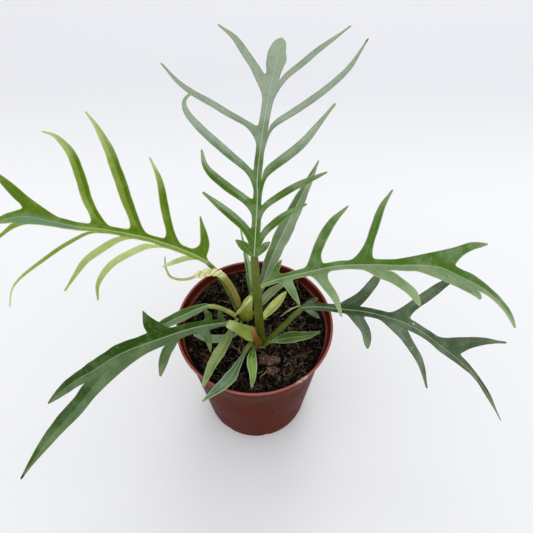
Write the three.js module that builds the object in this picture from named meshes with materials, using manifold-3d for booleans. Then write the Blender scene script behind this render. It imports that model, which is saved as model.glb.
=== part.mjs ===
// Potted philodendron tortum: five deeply lobed leaves and a ring of small juvenile leaves,
// growing from two short shoots in a terracotta-coloured plastic nursery pot.
// Millimetres. Origin at the centre of the pot's underside, +Z up, -Y is the front.

import * as THREE from 'three';
import Module from 'manifold-3d';

const wasm = await Module();
wasm.setup();

// Driving dimensions

const POT_HEIGHT = 120;
const LIP_RADIUS = 60;
const FOOT_RADIUS = 43;
const POT_WALL = 1.4;
const POT_FLOOR = 2.5;
const SOIL_LEVEL = 105;
const GAP = 0.3;
const BLADE_THICKNESS = 0.9;
const KEEL_SIDES = 6;
const STALK_SIDES = 8;

const group = new THREE.Group();
group.name = 'potted_philodendron_tortum';

// Small vector helpers

const vec = (p) => new THREE.Vector3(p[0], p[1], p[2]);
const rad = THREE.MathUtils.degToRad;
const clamp = THREE.MathUtils.clamp;
const smooth = (t) => THREE.MathUtils.smoothstep(t, 0, 1);
const curveThrough = (points) => new THREE.CatmullRomCurve3(points, false, 'catmullrom', 0.5);

function mixed(a, b, t) {
  return a.clone().lerp(b, t);
}

// Value at u of a list of [place, value] pairs
function along(pairs, u) {
  for (let i = 1; i < pairs.length; i += 1) {
    const [u0, v0] = pairs[i - 1];
    const [u1, v1] = pairs[i];
    if (u <= u1) return v0 + (v1 - v0) * clamp((u - u0) / (u1 - u0), 0, 1);
  }
  return pairs[pairs.length - 1][1];
}

// Closed bodies from indexed triangles

function solidFrom(points, triangles) {
  const vertProperties = new Float32Array(points.length * 3);
  points.forEach((p, i) => vertProperties.set([p.x, p.y, p.z], i * 3));
  const triVerts = new Uint32Array(triangles.flat());
  return new wasm.Manifold(new wasm.Mesh({ numProp: 3, vertProperties, triVerts }));
}

function addNode(name, solid, colour, roughness) {
  const mesh = solid.getMesh();
  const geometry = new THREE.BufferGeometry();
  geometry.setAttribute('position', new THREE.BufferAttribute(mesh.vertProperties, 3));
  geometry.setIndex(new THREE.BufferAttribute(mesh.triVerts, 1));
  const flat = geometry.toNonIndexed();
  flat.computeVertexNormals();
  const material = new THREE.MeshStandardMaterial({ color: colour, roughness, metalness: 0 });
  material.name = `${name}_surface`;
  const node = new THREE.Mesh(flat, material);
  node.name = name;
  group.add(node);
}

// Tube of changing radius along a curve, closed by a fan at each end
function tubeSolid(centres, radii, sides) {
  const points = [];
  const triangles = [];
  let across = new THREE.Vector3(0.3, 1, 0.2);
  centres.forEach((centre, i) => {
    const before = centres[Math.max(i - 1, 0)];
    const after = centres[Math.min(i + 1, centres.length - 1)];
    const forward = after.clone().sub(before).normalize();
    across = across.clone().addScaledVector(forward, -across.dot(forward)).normalize();
    const up = forward.clone().cross(across);
    for (let k = 0; k < sides; k += 1) {
      const turn = (2 * Math.PI * k) / sides;
      points.push(centre.clone()
        .addScaledVector(across, radii[i] * Math.cos(turn))
        .addScaledVector(up, radii[i] * Math.sin(turn)));
    }
  });
  const first = points.push(centres[0].clone()) - 1;
  const last = points.push(centres[centres.length - 1].clone()) - 1;
  const end = (centres.length - 1) * sides;
  for (let k = 0; k < sides; k += 1) {
    const next = (k + 1) % sides;
    for (let i = 0; i < centres.length - 1; i += 1) {
      const a = i * sides;
      const b = a + sides;
      triangles.push([a + k, a + next, b + next], [a + k, b + next, b + k]);
    }
    triangles.push([first, next, k], [last, end + k, end + next]);
  }
  return solidFrom(points, triangles);
}

// Stalk through a few hand-placed points; radius from first to last, grown by extra
function stalkSolid(points, radius, extra = 0, steps = 8) {
  const curve = curveThrough(points.map(vec));
  const centres = [];
  const radii = [];
  for (let i = 0; i <= steps; i += 1) {
    centres.push(curve.getPoint(i / steps));
    radii.push(radius[0] + ((radius[1] - radius[0]) * i) / steps + extra);
  }
  if (extra > 0) {
    const start = centres[0].clone().sub(centres[1]).setLength(extra);
    const stop = centres[steps].clone().sub(centres[steps - 1]).setLength(extra);
    centres[0].add(start);
    centres[steps].add(stop);
  }
  return tubeSolid(centres, radii, STALK_SIDES);
}

// Midrib of a leaf: place, direction, side and upper face at any u from 0 to 1
function makeMidrib(leaf) {
  const curve = curveThrough(leaf.midrib.map(vec));
  const length = curve.getLength();
  const faces = leaf.face.map(vec);
  const frame = (u) => {
    const place = curve.getPointAt(clamp(u, 0, 1));
    const forward = curve.getTangentAt(clamp(u, 0, 1)).normalize();
    const face = mixed(faces[0], faces[1], u);
    face.addScaledVector(forward, -face.dot(forward)).normalize();
    const left = face.clone().cross(forward);
    return { place, forward, left, face };
  };
  const edge = (u, side) => {
    const f = frame(u);
    const half = along(leaf.halfWidth, u);
    const fold = rad(leaf.fold);
    return f.place.clone()
      .addScaledVector(f.left, side * half * Math.cos(fold))
      .addScaledVector(f.face, half * Math.sin(fold));
  };
  return { length, frame, edge };
}

// Half width of a lobe: full until past its middle, then narrowing to the tip
function lobeHalf(lobe, t) {
  const fullest = 0.35;
  const neck = 0.86 + 0.14 * smooth(t / fullest);
  const outer = clamp((t - fullest) / (1 - fullest), 0, 1);
  return lobe.half * neck * (1 - outer ** lobe.taper);
}

// One sheet of triangles: a ribbon along the midrib, with each lobe stitched to its edge
function leafSheet(leaf) {
  const rib = makeMidrib(leaf);
  const points = [];
  const triangles = [];
  const add = (p) => points.push(p) - 1;
  const face = (side, a, b, c) => triangles.push(side > 0 ? [a, b, c] : [a, c, b]);

  const stitch = (side, near, far) => {
    let i = 0;
    let k = 0;
    while (i < near.length - 1 || k < far.length - 1) {
      const stepNear = k === far.length - 1
        || (i < near.length - 1 && (i + 1) / near.length <= (k + 1) / far.length);
      if (stepNear) {
        face(side, near[i], near[i + 1], far[k]);
        i += 1;
      } else {
        face(side, near[i], far[k + 1], far[k]);
        k += 1;
      }
    }
  };

  const lobes = leaf.lobes.map((lobe) => ({
    ...lobe,
    from: Math.max(lobe.at - lobe.root[0] / rib.length, 0.004),
    to: Math.min(lobe.at + lobe.root[1] / rib.length, 0.985),
  }));
  const marks = [0, ...leaf.halfWidth.map((pair) => pair[0])];
  lobes.forEach((lobe) => marks.push(lobe.from, lobe.at, lobe.to));
  marks.sort((a, b) => a - b);
  const stations = [0];
  marks.forEach((mark) => {
    if (mark - stations[stations.length - 1] > 0.004) stations.push(mark);
  });
  stations[stations.length - 1] = 1;
  const nearest = (u) => stations.reduce((best, s, i) => (
    Math.abs(s - u) < Math.abs(stations[best] - u) ? i : best), 0);

  const tip = add(rib.frame(1).place);
  const centre = [];
  const edges = { 1: [], '-1': [] };
  stations.slice(0, -1).forEach((u) => {
    centre.push(add(rib.frame(u).place));
    edges[1].push(add(rib.edge(u, 1)));
    edges[-1].push(add(rib.edge(u, -1)));
  });
  centre.push(tip);
  [1, -1].forEach((side) => {
    const edge = edges[side];
    edge.push(tip);
    for (let i = 0; i < stations.length - 2; i += 1) {
      face(side, centre[i], centre[i + 1], edge[i + 1]);
      face(side, centre[i], edge[i + 1], edge[i]);
    }
    face(side, centre[stations.length - 2], tip, edge[stations.length - 2]);
  });

  lobes.forEach((lobe) => {
    const { side } = lobe;
    const first = nearest(lobe.from);
    const last = Math.max(nearest(lobe.to), first + 1);
    let row = edges[side].slice(first, last + 1);
    const start = rib.edge(lobe.at, side);
    const curve = curveThrough([start, ...lobe.path.map(vec)]);
    const length = curve.getLength();
    const frame = rib.frame(lobe.at);
    const rootLine = points[row[row.length - 1]].clone().sub(points[row[0]]).normalize();
    const steps = lobe.steps ?? 7;
    for (let k = 1; k <= steps; k += 1) {
      const t = (k / steps) ** 1.25;
      const middle = curve.getPointAt(t);
      if (k === steps) {
        const end = add(middle);
        for (let i = 0; i < row.length - 1; i += 1) face(side, row[i], row[i + 1], end);
        break;
      }
      const forward = curve.getTangentAt(t);
      const up = frame.face.clone();
      up.addScaledVector(forward, -up.dot(forward)).normalize();
      const across = forward.clone().cross(up).multiplyScalar(side);
      const turned = mixed(rootLine, across, smooth(t / 0.3)).normalize();
      const body = lobeHalf(lobe, t);
      const fade = clamp(1 - (t * length) / (1.1 * (lobe.root[0] + lobe.root[1])), 0, 1) ** 2;
      const back = body + Math.max(lobe.root[0] - body, 0) * fade;
      const fore = body + Math.max(lobe.root[1] - body, 0) * fade;
      const rise = body * Math.sin(rad(leaf.fold)) * smooth(t / 0.25);
      const next = [
        add(middle.clone().addScaledVector(turned, -back).addScaledVector(up, rise / 2)),
        add(middle.clone().addScaledVector(up, -rise / 2)),
        add(middle.clone().addScaledVector(turned, fore).addScaledVector(up, rise / 2)),
      ];
      stitch(side, row, next);
      row = next;
    }
  });
  return { points, triangles, rib };
}

// The sheet given its thickness, the same triangles on both faces, closed round the edge
function bladeSolid(sheet) {
  const { points, triangles } = sheet;
  const normals = points.map(() => new THREE.Vector3());
  triangles.forEach(([a, b, c]) => {
    const ab = points[b].clone().sub(points[a]);
    const ac = points[c].clone().sub(points[a]);
    const normal = ab.cross(ac);
    [a, b, c].forEach((i) => normals[i].add(normal));
  });
  const half = BLADE_THICKNESS / 2;
  const shell = [];
  points.forEach((p, i) => shell.push(p.clone().addScaledVector(normals[i].normalize(), half)));
  points.forEach((p, i) => shell.push(p.clone().addScaledVector(normals[i], -half)));
  const below = points.length;
  const closed = [];
  const open = new Set();
  triangles.forEach(([a, b, c]) => {
    closed.push([a, b, c], [a + below, c + below, b + below]);
    [[a, b], [b, c], [c, a]].forEach(([i, j]) => {
      if (!open.delete(`${j},${i}`)) open.add(`${i},${j}`);
    });
  });
  open.forEach((key) => {
    const [i, j] = key.split(',').map(Number);
    closed.push([j, i, i + below], [j, i + below, j + below]);
  });
  return solidFrom(shell, closed);
}

// Stalk that runs on under the blade as its midrib
function ribSolid(leaf, sheet) {
  const { rib } = sheet;
  const stalk = curveThrough([...leaf.stalk.map(vec), rib.frame(0).place]);
  const stalkSteps = leaf.stalkSteps ?? 4;
  const keelSteps = leaf.keelSteps ?? Math.max(Math.round(rib.length / 20), 3);
  const centres = [];
  const radii = [];
  const [rootRadius, neckRadius] = leaf.stalkRadius;
  for (let i = 0; i < stalkSteps; i += 1) {
    const t = i / stalkSteps;
    centres.push(stalk.getPoint(t));
    radii.push(rootRadius + (neckRadius - rootRadius) * t);
  }
  const reach = leaf.keelEnd ?? 0.8;
  for (let i = 0; i <= keelSteps; i += 1) {
    const u = (i / keelSteps) * reach;
    const f = rib.frame(u);
    const radius = neckRadius * (1 - u / reach) ** 0.8 * 0.92 + 0.3;
    const sink = Math.max(radius - 0.35, 0) * smooth(u / 0.06);
    centres.push(f.place.clone().addScaledVector(f.face, -sink));
    radii.push(radius);
  }
  return tubeSolid(centres, radii, KEEL_SIDES);
}

// Room that a leaf's stalk needs where another piece passes it
function stalkRoom(leaf) {
  const points = [...leaf.stalk, leaf.midrib[0]];
  return stalkSolid(points, leaf.stalkRadius, GAP);
}

function leafSolid(leaf) {
  const sheet = leafSheet(leaf);
  let solid = bladeSolid(sheet).add(ribSolid(leaf, sheet));
  (leaf.clearOf ?? []).forEach((other) => {
    solid = solid.subtract(other);
  });
  return largest(solid);
}

// The biggest piece that a cut leaves
function largest(solid) {
  return solid.decompose().reduce((best, piece) => (piece.volume() > best.volume() ? piece : best));
}

// Pot: tapered wall, faint band below a rolled lip, shallow drainage notches round the foot

function latheSolid(profile, segments) {
  const points = [];
  const triangles = [];
  const rings = profile.map(([radius, height]) => {
    if (radius === 0) return [points.push(new THREE.Vector3(0, 0, height)) - 1];
    const ring = [];
    for (let k = 0; k < segments; k += 1) {
      const turn = (2 * Math.PI * k) / segments;
      const x = radius * Math.cos(turn);
      const y = radius * Math.sin(turn);
      ring.push(points.push(new THREE.Vector3(x, y, height)) - 1);
    }
    return ring;
  });
  for (let i = 0; i < rings.length - 1; i += 1) {
    const low = rings[i];
    const high = rings[i + 1];
    for (let k = 0; k < segments; k += 1) {
      const n = (k + 1) % segments;
      if (low.length === 1) triangles.push([low[0], high[n], high[k]]);
      else if (high.length === 1) triangles.push([low[k], low[n], high[0]]);
      else triangles.push([low[k], low[n], high[n]], [low[k], high[n], high[k]]);
    }
  }
  return solidFrom(points, triangles);
}

const POT_SEGMENTS = 54;
const NOTCH_COUNT = 8;
const NOTCH_RADIUS = 2.6;
const NOTCH_DEPTH = 1.2;
const BAND_HEIGHT = 103;

function potSolid() {
  const inner = (outerRadius) => outerRadius - POT_WALL;
  const profile = [
    [0, 0],
    [FOOT_RADIUS - 1, 0],
    [FOOT_RADIUS, 1],
    [54.6, BAND_HEIGHT - 1],
    [55.4, BAND_HEIGHT],
    [57.2, POT_HEIGHT - 6],
    [58.4, POT_HEIGHT - 5],
    [LIP_RADIUS - 0.2, POT_HEIGHT - 3.2],
    [LIP_RADIUS, POT_HEIGHT - 1.8],
    [LIP_RADIUS - 0.5, POT_HEIGHT - 0.5],
    [LIP_RADIUS - 1.7, POT_HEIGHT],
    [LIP_RADIUS - 3, POT_HEIGHT - 0.6],
    [LIP_RADIUS - 3.6, POT_HEIGHT - 2],
    [inner(57.2), POT_HEIGHT - 6],
    [inner(55.2), BAND_HEIGHT],
    [FOOT_RADIUS - 2.8, POT_FLOOR],
    [0, POT_FLOOR],
  ];
  let pot = latheSolid(profile, POT_SEGMENTS);
  for (let k = 0; k < NOTCH_COUNT; k += 1) {
    const turn = (2 * Math.PI * (k + 0.25)) / NOTCH_COUNT;
    const out = new THREE.Vector3(Math.cos(turn), Math.sin(turn), 0);
    const notch = tubeSolid([
      out.clone().multiplyScalar(FOOT_RADIUS - NOTCH_DEPTH),
      out.clone().multiplyScalar(FOOT_RADIUS + 4),
    ], [NOTCH_RADIUS, NOTCH_RADIUS], 10);
    pot = pot.subtract(notch);
  }
  return pot;
}

// Shoots: the front one is a short stub, the back one a leaning sheath

const FRONT_SHOOT = { path: [[5, -10, 94], [5, -10, 102], [5, -10, 110]], radius: [5, 4.4] };
const BACK_SHOOT = {
  path: [[-12, 14, 94], [-11, 15, 106], [-8, 19, 115], [-5, 22, 121]],
  radius: [6, 3.6],
};
const shootSolid = (shoot, extra) => stalkSolid(shoot.path, shoot.radius, extra);
const frontRoom = shootSolid(FRONT_SHOOT, GAP);
const backRoom = shootSolid(BACK_SHOOT, GAP);

// Lobes. side is +1 left of the midrib looking from base to tip, -1 right of it; at is the
// place along the midrib; root is how far the lobe's foot reaches back and fore along the
// rachis; half is the half width; taper is low for a long point and high for a blunt end;
// path is the lobe's middle line from just outside the rachis to the tip.

const lobe = (side, at, root, half, taper, path, steps) => (
  { side, at, root, half, taper, path, steps });

const LEAVES = {
  leaf_upright: {
    colour: 0x5f7f4c,
    stalk: [[5, -10, 103], [4, -10, 125], [2, -8, 156], [0, -4, 181]],
    stalkRadius: [3.6, 2.7],
    midrib: [[-1, 3, 198], [3, 28, 226], [3, 38, 236], [6, 60, 252], [11, 90, 264],
      [16, 118, 270], [20, 140, 273]],
    face: [[0, -75, 66], [0, -10, 100]],
    fold: 14,
    halfWidth: [[0, 2.4], [0.1, 3.2], [0.25, 2.7], [0.45, 3], [0.62, 3.6], [0.74, 5],
      [0.79, 4.2], [0.83, 6.3], [0.9, 6.6], [0.96, 4.4], [1, 0]],
    clearOf: [frontRoom],
    lobes: [
      lobe(1, 0.73, [11, 5], 2.9, 2, [[1, 107, 272], [-12, 128, 279], [-25, 144, 281]]),
      lobe(1, 0.5, [7, 3], 2.2, 2.4,
        [[-3, 66, 257], [-23, 75, 264], [-46, 88, 271], [-61, 103, 278]]),
      lobe(1, 0.32, [6, 3], 2.7, 3,
        [[-4, 42, 241], [-22, 53, 251], [-39, 66, 261], [-44, 73, 266], [-43, 78, 269],
          [-38, 81, 271]], 11),
      lobe(1, 0.21, [6, 3], 2.9, 2.6,
        [[-5, 28, 227], [-19, 34, 235], [-30, 42, 242], [-33, 51, 250]]),
      lobe(1, 0.09, [6, 3], 2.9, 2.2, [[-6, 16, 214], [-20, 24, 223], [-33, 31, 231]]),
      lobe(1, 0.024, [3, 3], 2.2, 1.2, [[-5, 7, 203], [-11, 10, 207]], 4),
      lobe(-1, 0.7, [9, 5], 2.3, 2.2, [[21, 100, 268], [45, 121, 276], [68, 142, 281]]),
      lobe(-1, 0.47, [7, 4], 2.3, 2.6,
        [[14, 66, 257], [37, 78, 266], [61, 95, 277], [76, 114, 289]]),
      lobe(-1, 0.285, [6, 3], 3, 2, [[10, 41, 240], [31, 51, 253], [53, 70, 271]]),
      lobe(-1, 0.185, [5, 3], 2.3, 3, [[9, 26, 224], [27, 33, 233], [49, 41, 239]]),
      lobe(-1, 0.075, [5, 3], 2.5, 2.2, [[8, 14, 211], [21, 21, 219], [36, 27, 224]]),
      lobe(-1, 0.024, [3, 3], 2.2, 1.2, [[6, 6, 203], [11, 9, 206]], 4),
    ],
  },
  leaf_left_high: {
    colour: 0x88a836,
    stalk: [[-15, 17, 107], [-20, 24, 116], [-25, 32, 127], [-31, 36, 139]],
    stalkRadius: [2.6, 1.9],
    midrib: [[-36, 36, 150], [-50, 40, 156], [-68, 44, 162], [-87, 47, 167], [-113, 50, 171],
      [-132, 51, 173], [-152, 55, 174], [-173, 60, 174], [-192, 58, 172], [-205, 55, 169]],
    face: [[0, -20, 100], [0, -20, 100]],
    fold: 14,
    halfWidth: [[0, 2], [0.1, 3.6], [0.3, 3.4], [0.6, 3.6], [0.72, 5.5], [0.8, 7], [0.9, 4.5],
      [1, 0]],
    clearOf: [backRoom],
    lobes: [
      lobe(-1, 0.03, [3, 9], 3.6, 1.3, [[-38, 48, 157], [-42, 66, 169]], 5),
      lobe(-1, 0.165, [5, 7], 3.3, 2, [[-67, 62, 171], [-73, 87, 186], [-82, 106, 192]]),
      lobe(-1, 0.315, [5, 7], 4.4, 2.2,
        [[-95, 67, 178], [-110, 102, 197], [-122, 124, 204], [-134, 140, 209]], 8),
      lobe(-1, 0.475, [5, 8], 4, 2.4,
        [[-125, 68, 180], [-139, 101, 194], [-154, 120, 199], [-169, 129, 198]], 8),
      lobe(-1, 0.69, [12, 9], 4.6, 1.5, [[-168, 67, 178], [-189, 84, 183], [-214, 106, 186]]),
      lobe(1, 0.07, [4, 3], 2.2, 1.8, [[-53, 35, 155], [-70, 29, 152]], 5),
      lobe(1, 0.2, [3, 5], 2.7, 3,
        [[-82, 38, 165], [-103, 26, 162], [-114, 13, 155], [-115, 3, 145]], 8),
      lobe(1, 0.35, [3, 6], 3, 2, [[-104, 40, 169], [-123, 25, 165], [-138, 5, 154]]),
      lobe(1, 0.47, [4, 8], 1.7, 2,
        [[-127, 45, 171], [-153, 25, 167], [-174, 9, 157], [-177, -5, 148]], 8),
      lobe(1, 0.82, [6, 6], 1.9, 1.6, [[-183, 51, 172], [-200, 36, 164]], 5),
    ],
  },
  leaf_left_low: {
    colour: 0x4c6f3a,
    stalk: [[3, -11, 108], [-4, -6, 111], [-11, -4, 115]],
    stalkRadius: [2.2, 2],
    midrib: [[-21, -1, 122], [-45, -11, 130], [-73, -24, 133], [-96, -32, 129],
      [-116, -39, 118], [-135, -44, 106], [-155, -54, 92]],
    face: [[0, -25, 100], [0, -25, 100]],
    fold: 12,
    halfWidth: [[0, 2], [0.08, 3.6], [0.2, 4.6], [0.35, 6.4], [0.52, 7.6], [0.66, 6.8],
      [0.84, 4.8], [0.95, 2.4], [1, 0]],
    clearOf: [frontRoom],
    lobes: [
      lobe(-1, 0.1, [4, 3], 3, 1.3, [[-34, -1, 129], [-39, 6, 132]], 4),
      lobe(-1, 0.024, [2.5, 2.5], 2.4, 1.3, [[-26, 2, 125], [-27, 7, 127]], 3),
      lobe(-1, 0.35, [10, 5], 4, 1.2, [[-76, -14, 138], [-82, -3, 142]], 4),
      lobe(1, 0.13, [4, 5], 3, 1.4, [[-34, -18, 127], [-32, -28, 123]], 5),
      lobe(1, 0.29, [5, 6], 3.6, 2.4, [[-64, -31, 128], [-68, -45, 118]], 5),
      lobe(1, 0.6, [24, 10], 6.4, 1.9,
        [[-107, -45, 124], [-125, -67, 115], [-144, -88, 106], [-159, -112, 98]], 9),
    ],
  },
  leaf_right_high: {
    colour: 0x5d8a3c,
    stalk: [[-7, 20, 117], [-3, 23, 122], [2, 25, 128]],
    stalkRadius: [2.2, 1.9],
    midrib: [[6, 26, 134], [21, 26, 142], [41, 26, 150], [62, 27, 156], [84, 25, 160],
      [106, 23, 162], [124, 23, 162], [138, 21, 161], [150, 15, 159], [162, 11, 155],
      [173, 6, 150], [182, -2, 145], [187, -9, 141], [190, -16, 137]],
    face: [[0, -20, 100], [30, -20, 100]],
    fold: 14,
    halfWidth: [[0, 2.2], [0.06, 3.4], [0.22, 3.6], [0.4, 4.4], [0.55, 5.4], [0.66, 6.2],
      [0.74, 6.2], [0.82, 4.4], [0.9, 3.4], [0.96, 2.6], [1, 0]],
    clearOf: [backRoom],
    lobes: [
      lobe(1, 0.06, [5, 3], 2.6, 2.4, [[16, 32, 143], [21, 40, 148]], 4),
      lobe(1, 0.21, [7, 6], 4, 2.4, [[47, 39, 158], [57, 57, 167], [72, 72, 174]], 8),
      lobe(1, 0.385, [9, 6], 3.2, 2.6, [[85, 38, 166], [96, 66, 177], [106, 82, 181]], 8),
      lobe(1, 0.63, [16, 11], 3.2, 3, [[141, 30, 165], [157, 36, 167], [175, 41, 165]], 7),
      lobe(-1, 0.1, [5, 4], 3.2, 1.4, [[27, 18, 142], [34, 3, 139]], 5),
      lobe(-1, 0.22, [6, 7], 3.3, 1.8, [[52, 15, 151], [60, 3, 147], [64, -8, 140]]),
      lobe(-1, 0.42, [8, 7], 3.7, 4.5, [[99, 14, 160], [113, 4, 157], [120, -5, 150]]),
      lobe(-1, 0.64, [14, 10], 3.2, 4, [[144, 10, 158], [154, 4, 155], [163, -2, 153]], 5),
    ],
  },
  leaf_right_low: {
    colour: 0x4b6650,
    stalk: [[7, -11, 107], [12, -8, 110], [21, -2, 116]],
    stalkRadius: [2.4, 2],
    midrib: [[36, 11, 124], [49, 9, 128], [66, 5, 131], [83, 2, 132], [101, -2, 130],
      [115, -6, 127], [129, -13, 123], [142, -22, 118], [153, -29, 113], [164, -38, 107],
      [174, -50, 98], [184, -65, 86]],
    face: [[0, -25, 100], [20, -25, 100]],
    fold: 14,
    halfWidth: [[0, 1.8], [0.08, 3.6], [0.2, 3.4], [0.4, 4.2], [0.5, 4.2], [0.62, 4.8],
      [0.7, 3.6], [0.8, 2.4], [0.9, 1.5], [1, 0]],
    clearOf: [frontRoom],
    lobes: [
      lobe(1, 0.034, [4, 3], 2.2, 3, [[43, 13, 128], [49, 16, 130]], 4),
      lobe(1, 0.19, [7, 5], 4, 2.4, [[80, 11, 138], [91, 23, 142], [100, 36, 147]]),
      lobe(1, 0.41, [8, 6], 4, 2, [[119, 6, 133], [139, 20, 136], [163, 36, 138]]),
      lobe(1, 0.6, [8, 9], 3.9, 1.1, [[151, -20, 119], [169, -16, 119], [192, -14, 114]]),
      lobe(-1, 0.034, [4, 3], 2.2, 2.2, [[44, 6, 126], [50, 0, 125]], 4),
      lobe(-1, 0.23, [7, 6], 3.4, 4, [[78, -3, 130], [83, -13, 127], [84, -24, 121]]),
      lobe(-1, 0.37, [7, 6], 3.4, 1.8, [[110, -14, 126], [121, -30, 119], [127, -49, 107]]),
    ],
  },
  leaf_left_mid: {
    colour: 0x6b8b50,
    stalk: [[-15, 12, 107], [-20, 15, 110], [-27, 18, 113]],
    stalkRadius: [2, 1.8],
    midrib: [[-37, 18, 117], [-50, 8, 122], [-65, -2, 124], [-82, -10, 122]],
    face: [[0, -20, 100], [0, -20, 100]],
    fold: 10,
    halfWidth: [[0, 1.8], [0.15, 3.4], [0.4, 4.8], [0.7, 4.2], [0.9, 2.2], [1, 0]],
    clearOf: [backRoom],
    lobes: [],
  },
  leaf_back_right: {
    colour: 0x7b9272,
    stalk: [[3, 31, 99], [3, 32, 105]],
    stalkRadius: [1.9, 1.8],
    midrib: [[5, 34, 113], [11, 42, 131], [18, 50, 153], [28, 60, 176], [37, 72, 190],
      [48, 88, 206]],
    face: [[10, -90, 50], [30, -60, 70]],
    fold: 12,
    halfWidth: [[0, 1.8], [0.2, 4], [0.45, 6.2], [0.65, 5.4], [0.85, 3], [1, 0]],
    lobes: [],
  },
  leaf_back_left: {
    colour: 0x74935b,
    stalk: [[-6, 29, 99], [-6, 29, 108]],
    stalkRadius: [1.4, 1.4],
    midrib: [[-7, 30, 118], [-8, 35, 140], [-10, 42, 156], [-12, 50, 172]],
    face: [[10, -90, 30], [10, -80, 50]],
    fold: 20,
    halfWidth: [[0, 1.4], [0.3, 2.3], [0.6, 2.4], [0.85, 1.4], [1, 0]],
    lobes: [],
  },
  small_front: {
    colour: 0x7fa35a,
    stalk: [[4, -15.6, 107.4], [1, -18, 108.4]],
    stalkRadius: [1.5, 1.3],
    midrib: [[-3, -20, 110], [-2, -28, 113], [-1, -41, 113], [-2, -50, 110]],
    face: [[0, 0, 1], [0, -20, 100]],
    fold: 12,
    halfWidth: [[0, 1.2], [0.25, 3.4], [0.5, 3.9], [0.8, 2], [1, 0]],
    clearOf: [frontRoom],
    lobes: [],
  },
  small_front_left: {
    colour: 0x67865c,
    stalk: [[0.5, -14, 107.2], [-5, -17, 108.6]],
    stalkRadius: [1.5, 1.3],
    midrib: [[-8, -22, 111], [-12, -34, 116], [-19, -50, 121.5], [-36, -67, 124]],
    face: [[0, 0, 1], [0, 0, 1]],
    fold: 12,
    halfWidth: [[0, 1.1], [0.25, 2.6], [0.5, 4.6], [0.75, 3.6], [0.92, 1.2], [1, 0]],
    clearOf: [frontRoom],
    lobes: [],
  },
  small_left_long: {
    colour: 0x8ba862,
    stalk: [[-14, 10, 109], [-16, 6, 110]],
    stalkRadius: [1.5, 1.4],
    midrib: [[-18, 0, 112], [-23, -17, 115.5], [-31, -37, 119.5], [-36, -57, 125]],
    face: [[0, 0, 1], [0, 0, 1]],
    fold: 14,
    halfWidth: [[0, 1.2], [0.2, 3.8], [0.45, 4.4], [0.75, 3.2], [0.93, 1.3], [1, 0]],
    clearOf: [backRoom],
    lobes: [],
  },
  small_left_under: {
    colour: 0x55753f,
    stalk: [[-11, 9, 107.6], [-12, 3, 107.8]],
    stalkRadius: [1.1, 1],
    midrib: [[-14, -3, 108], [-22, -7, 109], [-33, -9, 110.5], [-48, -6, 112]],
    face: [[0, 0, 1], [0, 0, 1]],
    fold: 8,
    halfWidth: [[0, 1], [0.3, 3.2], [0.6, 3.8], [0.85, 2.2], [1, 0]],
    clearOf: [backRoom],
    lobes: [],
  },
  small_right: {
    colour: 0x4f8a3a,
    stalk: [[8, -14, 107.4], [12, -13.6, 107.8]],
    stalkRadius: [1.4, 1.2],
    midrib: [[17, -10, 109], [28, -8, 112], [39, -8, 113.5], [51, -4, 113]],
    face: [[0, -20, 100], [0, -20, 100]],
    fold: 12,
    halfWidth: [[0, 1], [0.2, 3.6], [0.45, 5], [0.75, 3.2], [0.92, 1.2], [1, 0]],
    clearOf: [frontRoom],
    lobes: [],
  },
  small_right_grey: {
    colour: 0x86a16d,
    stalk: [[-6, 13, 107], [-3, 14, 109]],
    stalkRadius: [1.3, 1.2],
    midrib: [[2, 18, 113], [6, 21, 118], [13, 26, 124], [24, 31, 129]],
    face: [[0, -40, 90], [0, -40, 90]],
    fold: 12,
    halfWidth: [[0, 1.1], [0.3, 3.2], [0.6, 3.4], [0.85, 2], [1, 0]],
    clearOf: [backRoom],
    lobes: [],
  },
  small_right_yellow: {
    colour: 0xc6c95e,
    stalk: [[4, -7, 108.4], [2, 0, 108.8]],
    stalkRadius: [1.4, 1.2],
    midrib: [[4, 8, 110], [11, 15, 113], [18, 22, 116], [25, 30, 119]],
    face: [[0, -40, 90], [0, -40, 90]],
    fold: 12,
    halfWidth: [[0, 1.1], [0.3, 3.2], [0.6, 4], [0.85, 2.2], [1, 0]],
    clearOf: [frontRoom],
    lobes: [],
  },
};

// The folded pale sheath is a short, steeply channelled blade; its inner edge has dried

const SHEATH = {
  stalk: [[2, -12.6, 110.4], [1, -12.2, 111.2]],
  stalkRadius: [1.6, 1.6],
  stalkSteps: 2,
  midrib: [[0, -11.4, 112], [-4, -9, 115.5], [-11, -7, 120], [-20, -6, 126]],
  face: [[-20, -30, 100], [20, -40, 90]],
  fold: 38,
  halfWidth: [[0, 3], [0.2, 4.6], [0.5, 5.2], [0.8, 4.6], [0.97, 3], [1, 0]],
  keelSteps: 4,
  keelEnd: 0.5,
  lobes: [],
};

const STRIP = {
  stalk: [[7, -15, 107.6], [6.4, -14.8, 108.4]],
  stalkRadius: [0.7, 0.6],
  stalkSteps: 2,
  midrib: [[6, -14.6, 109.4], [3.6, -13.4, 113.4], [2.2, -12.6, 117.4], [0.8, -11.6, 121.6]],
  face: [[30, -90, 40], [20, -90, 40]],
  fold: 6,
  halfWidth: [[0, 1.3], [0.4, 2], [0.8, 1.6], [1, 0]],
  keelSteps: 3,
  keelEnd: 0.5,
  lobes: [],
};

// Rolled young growth: closed rods of changing radius; the new leaf is wrung like a cord
// over part of its length

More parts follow.
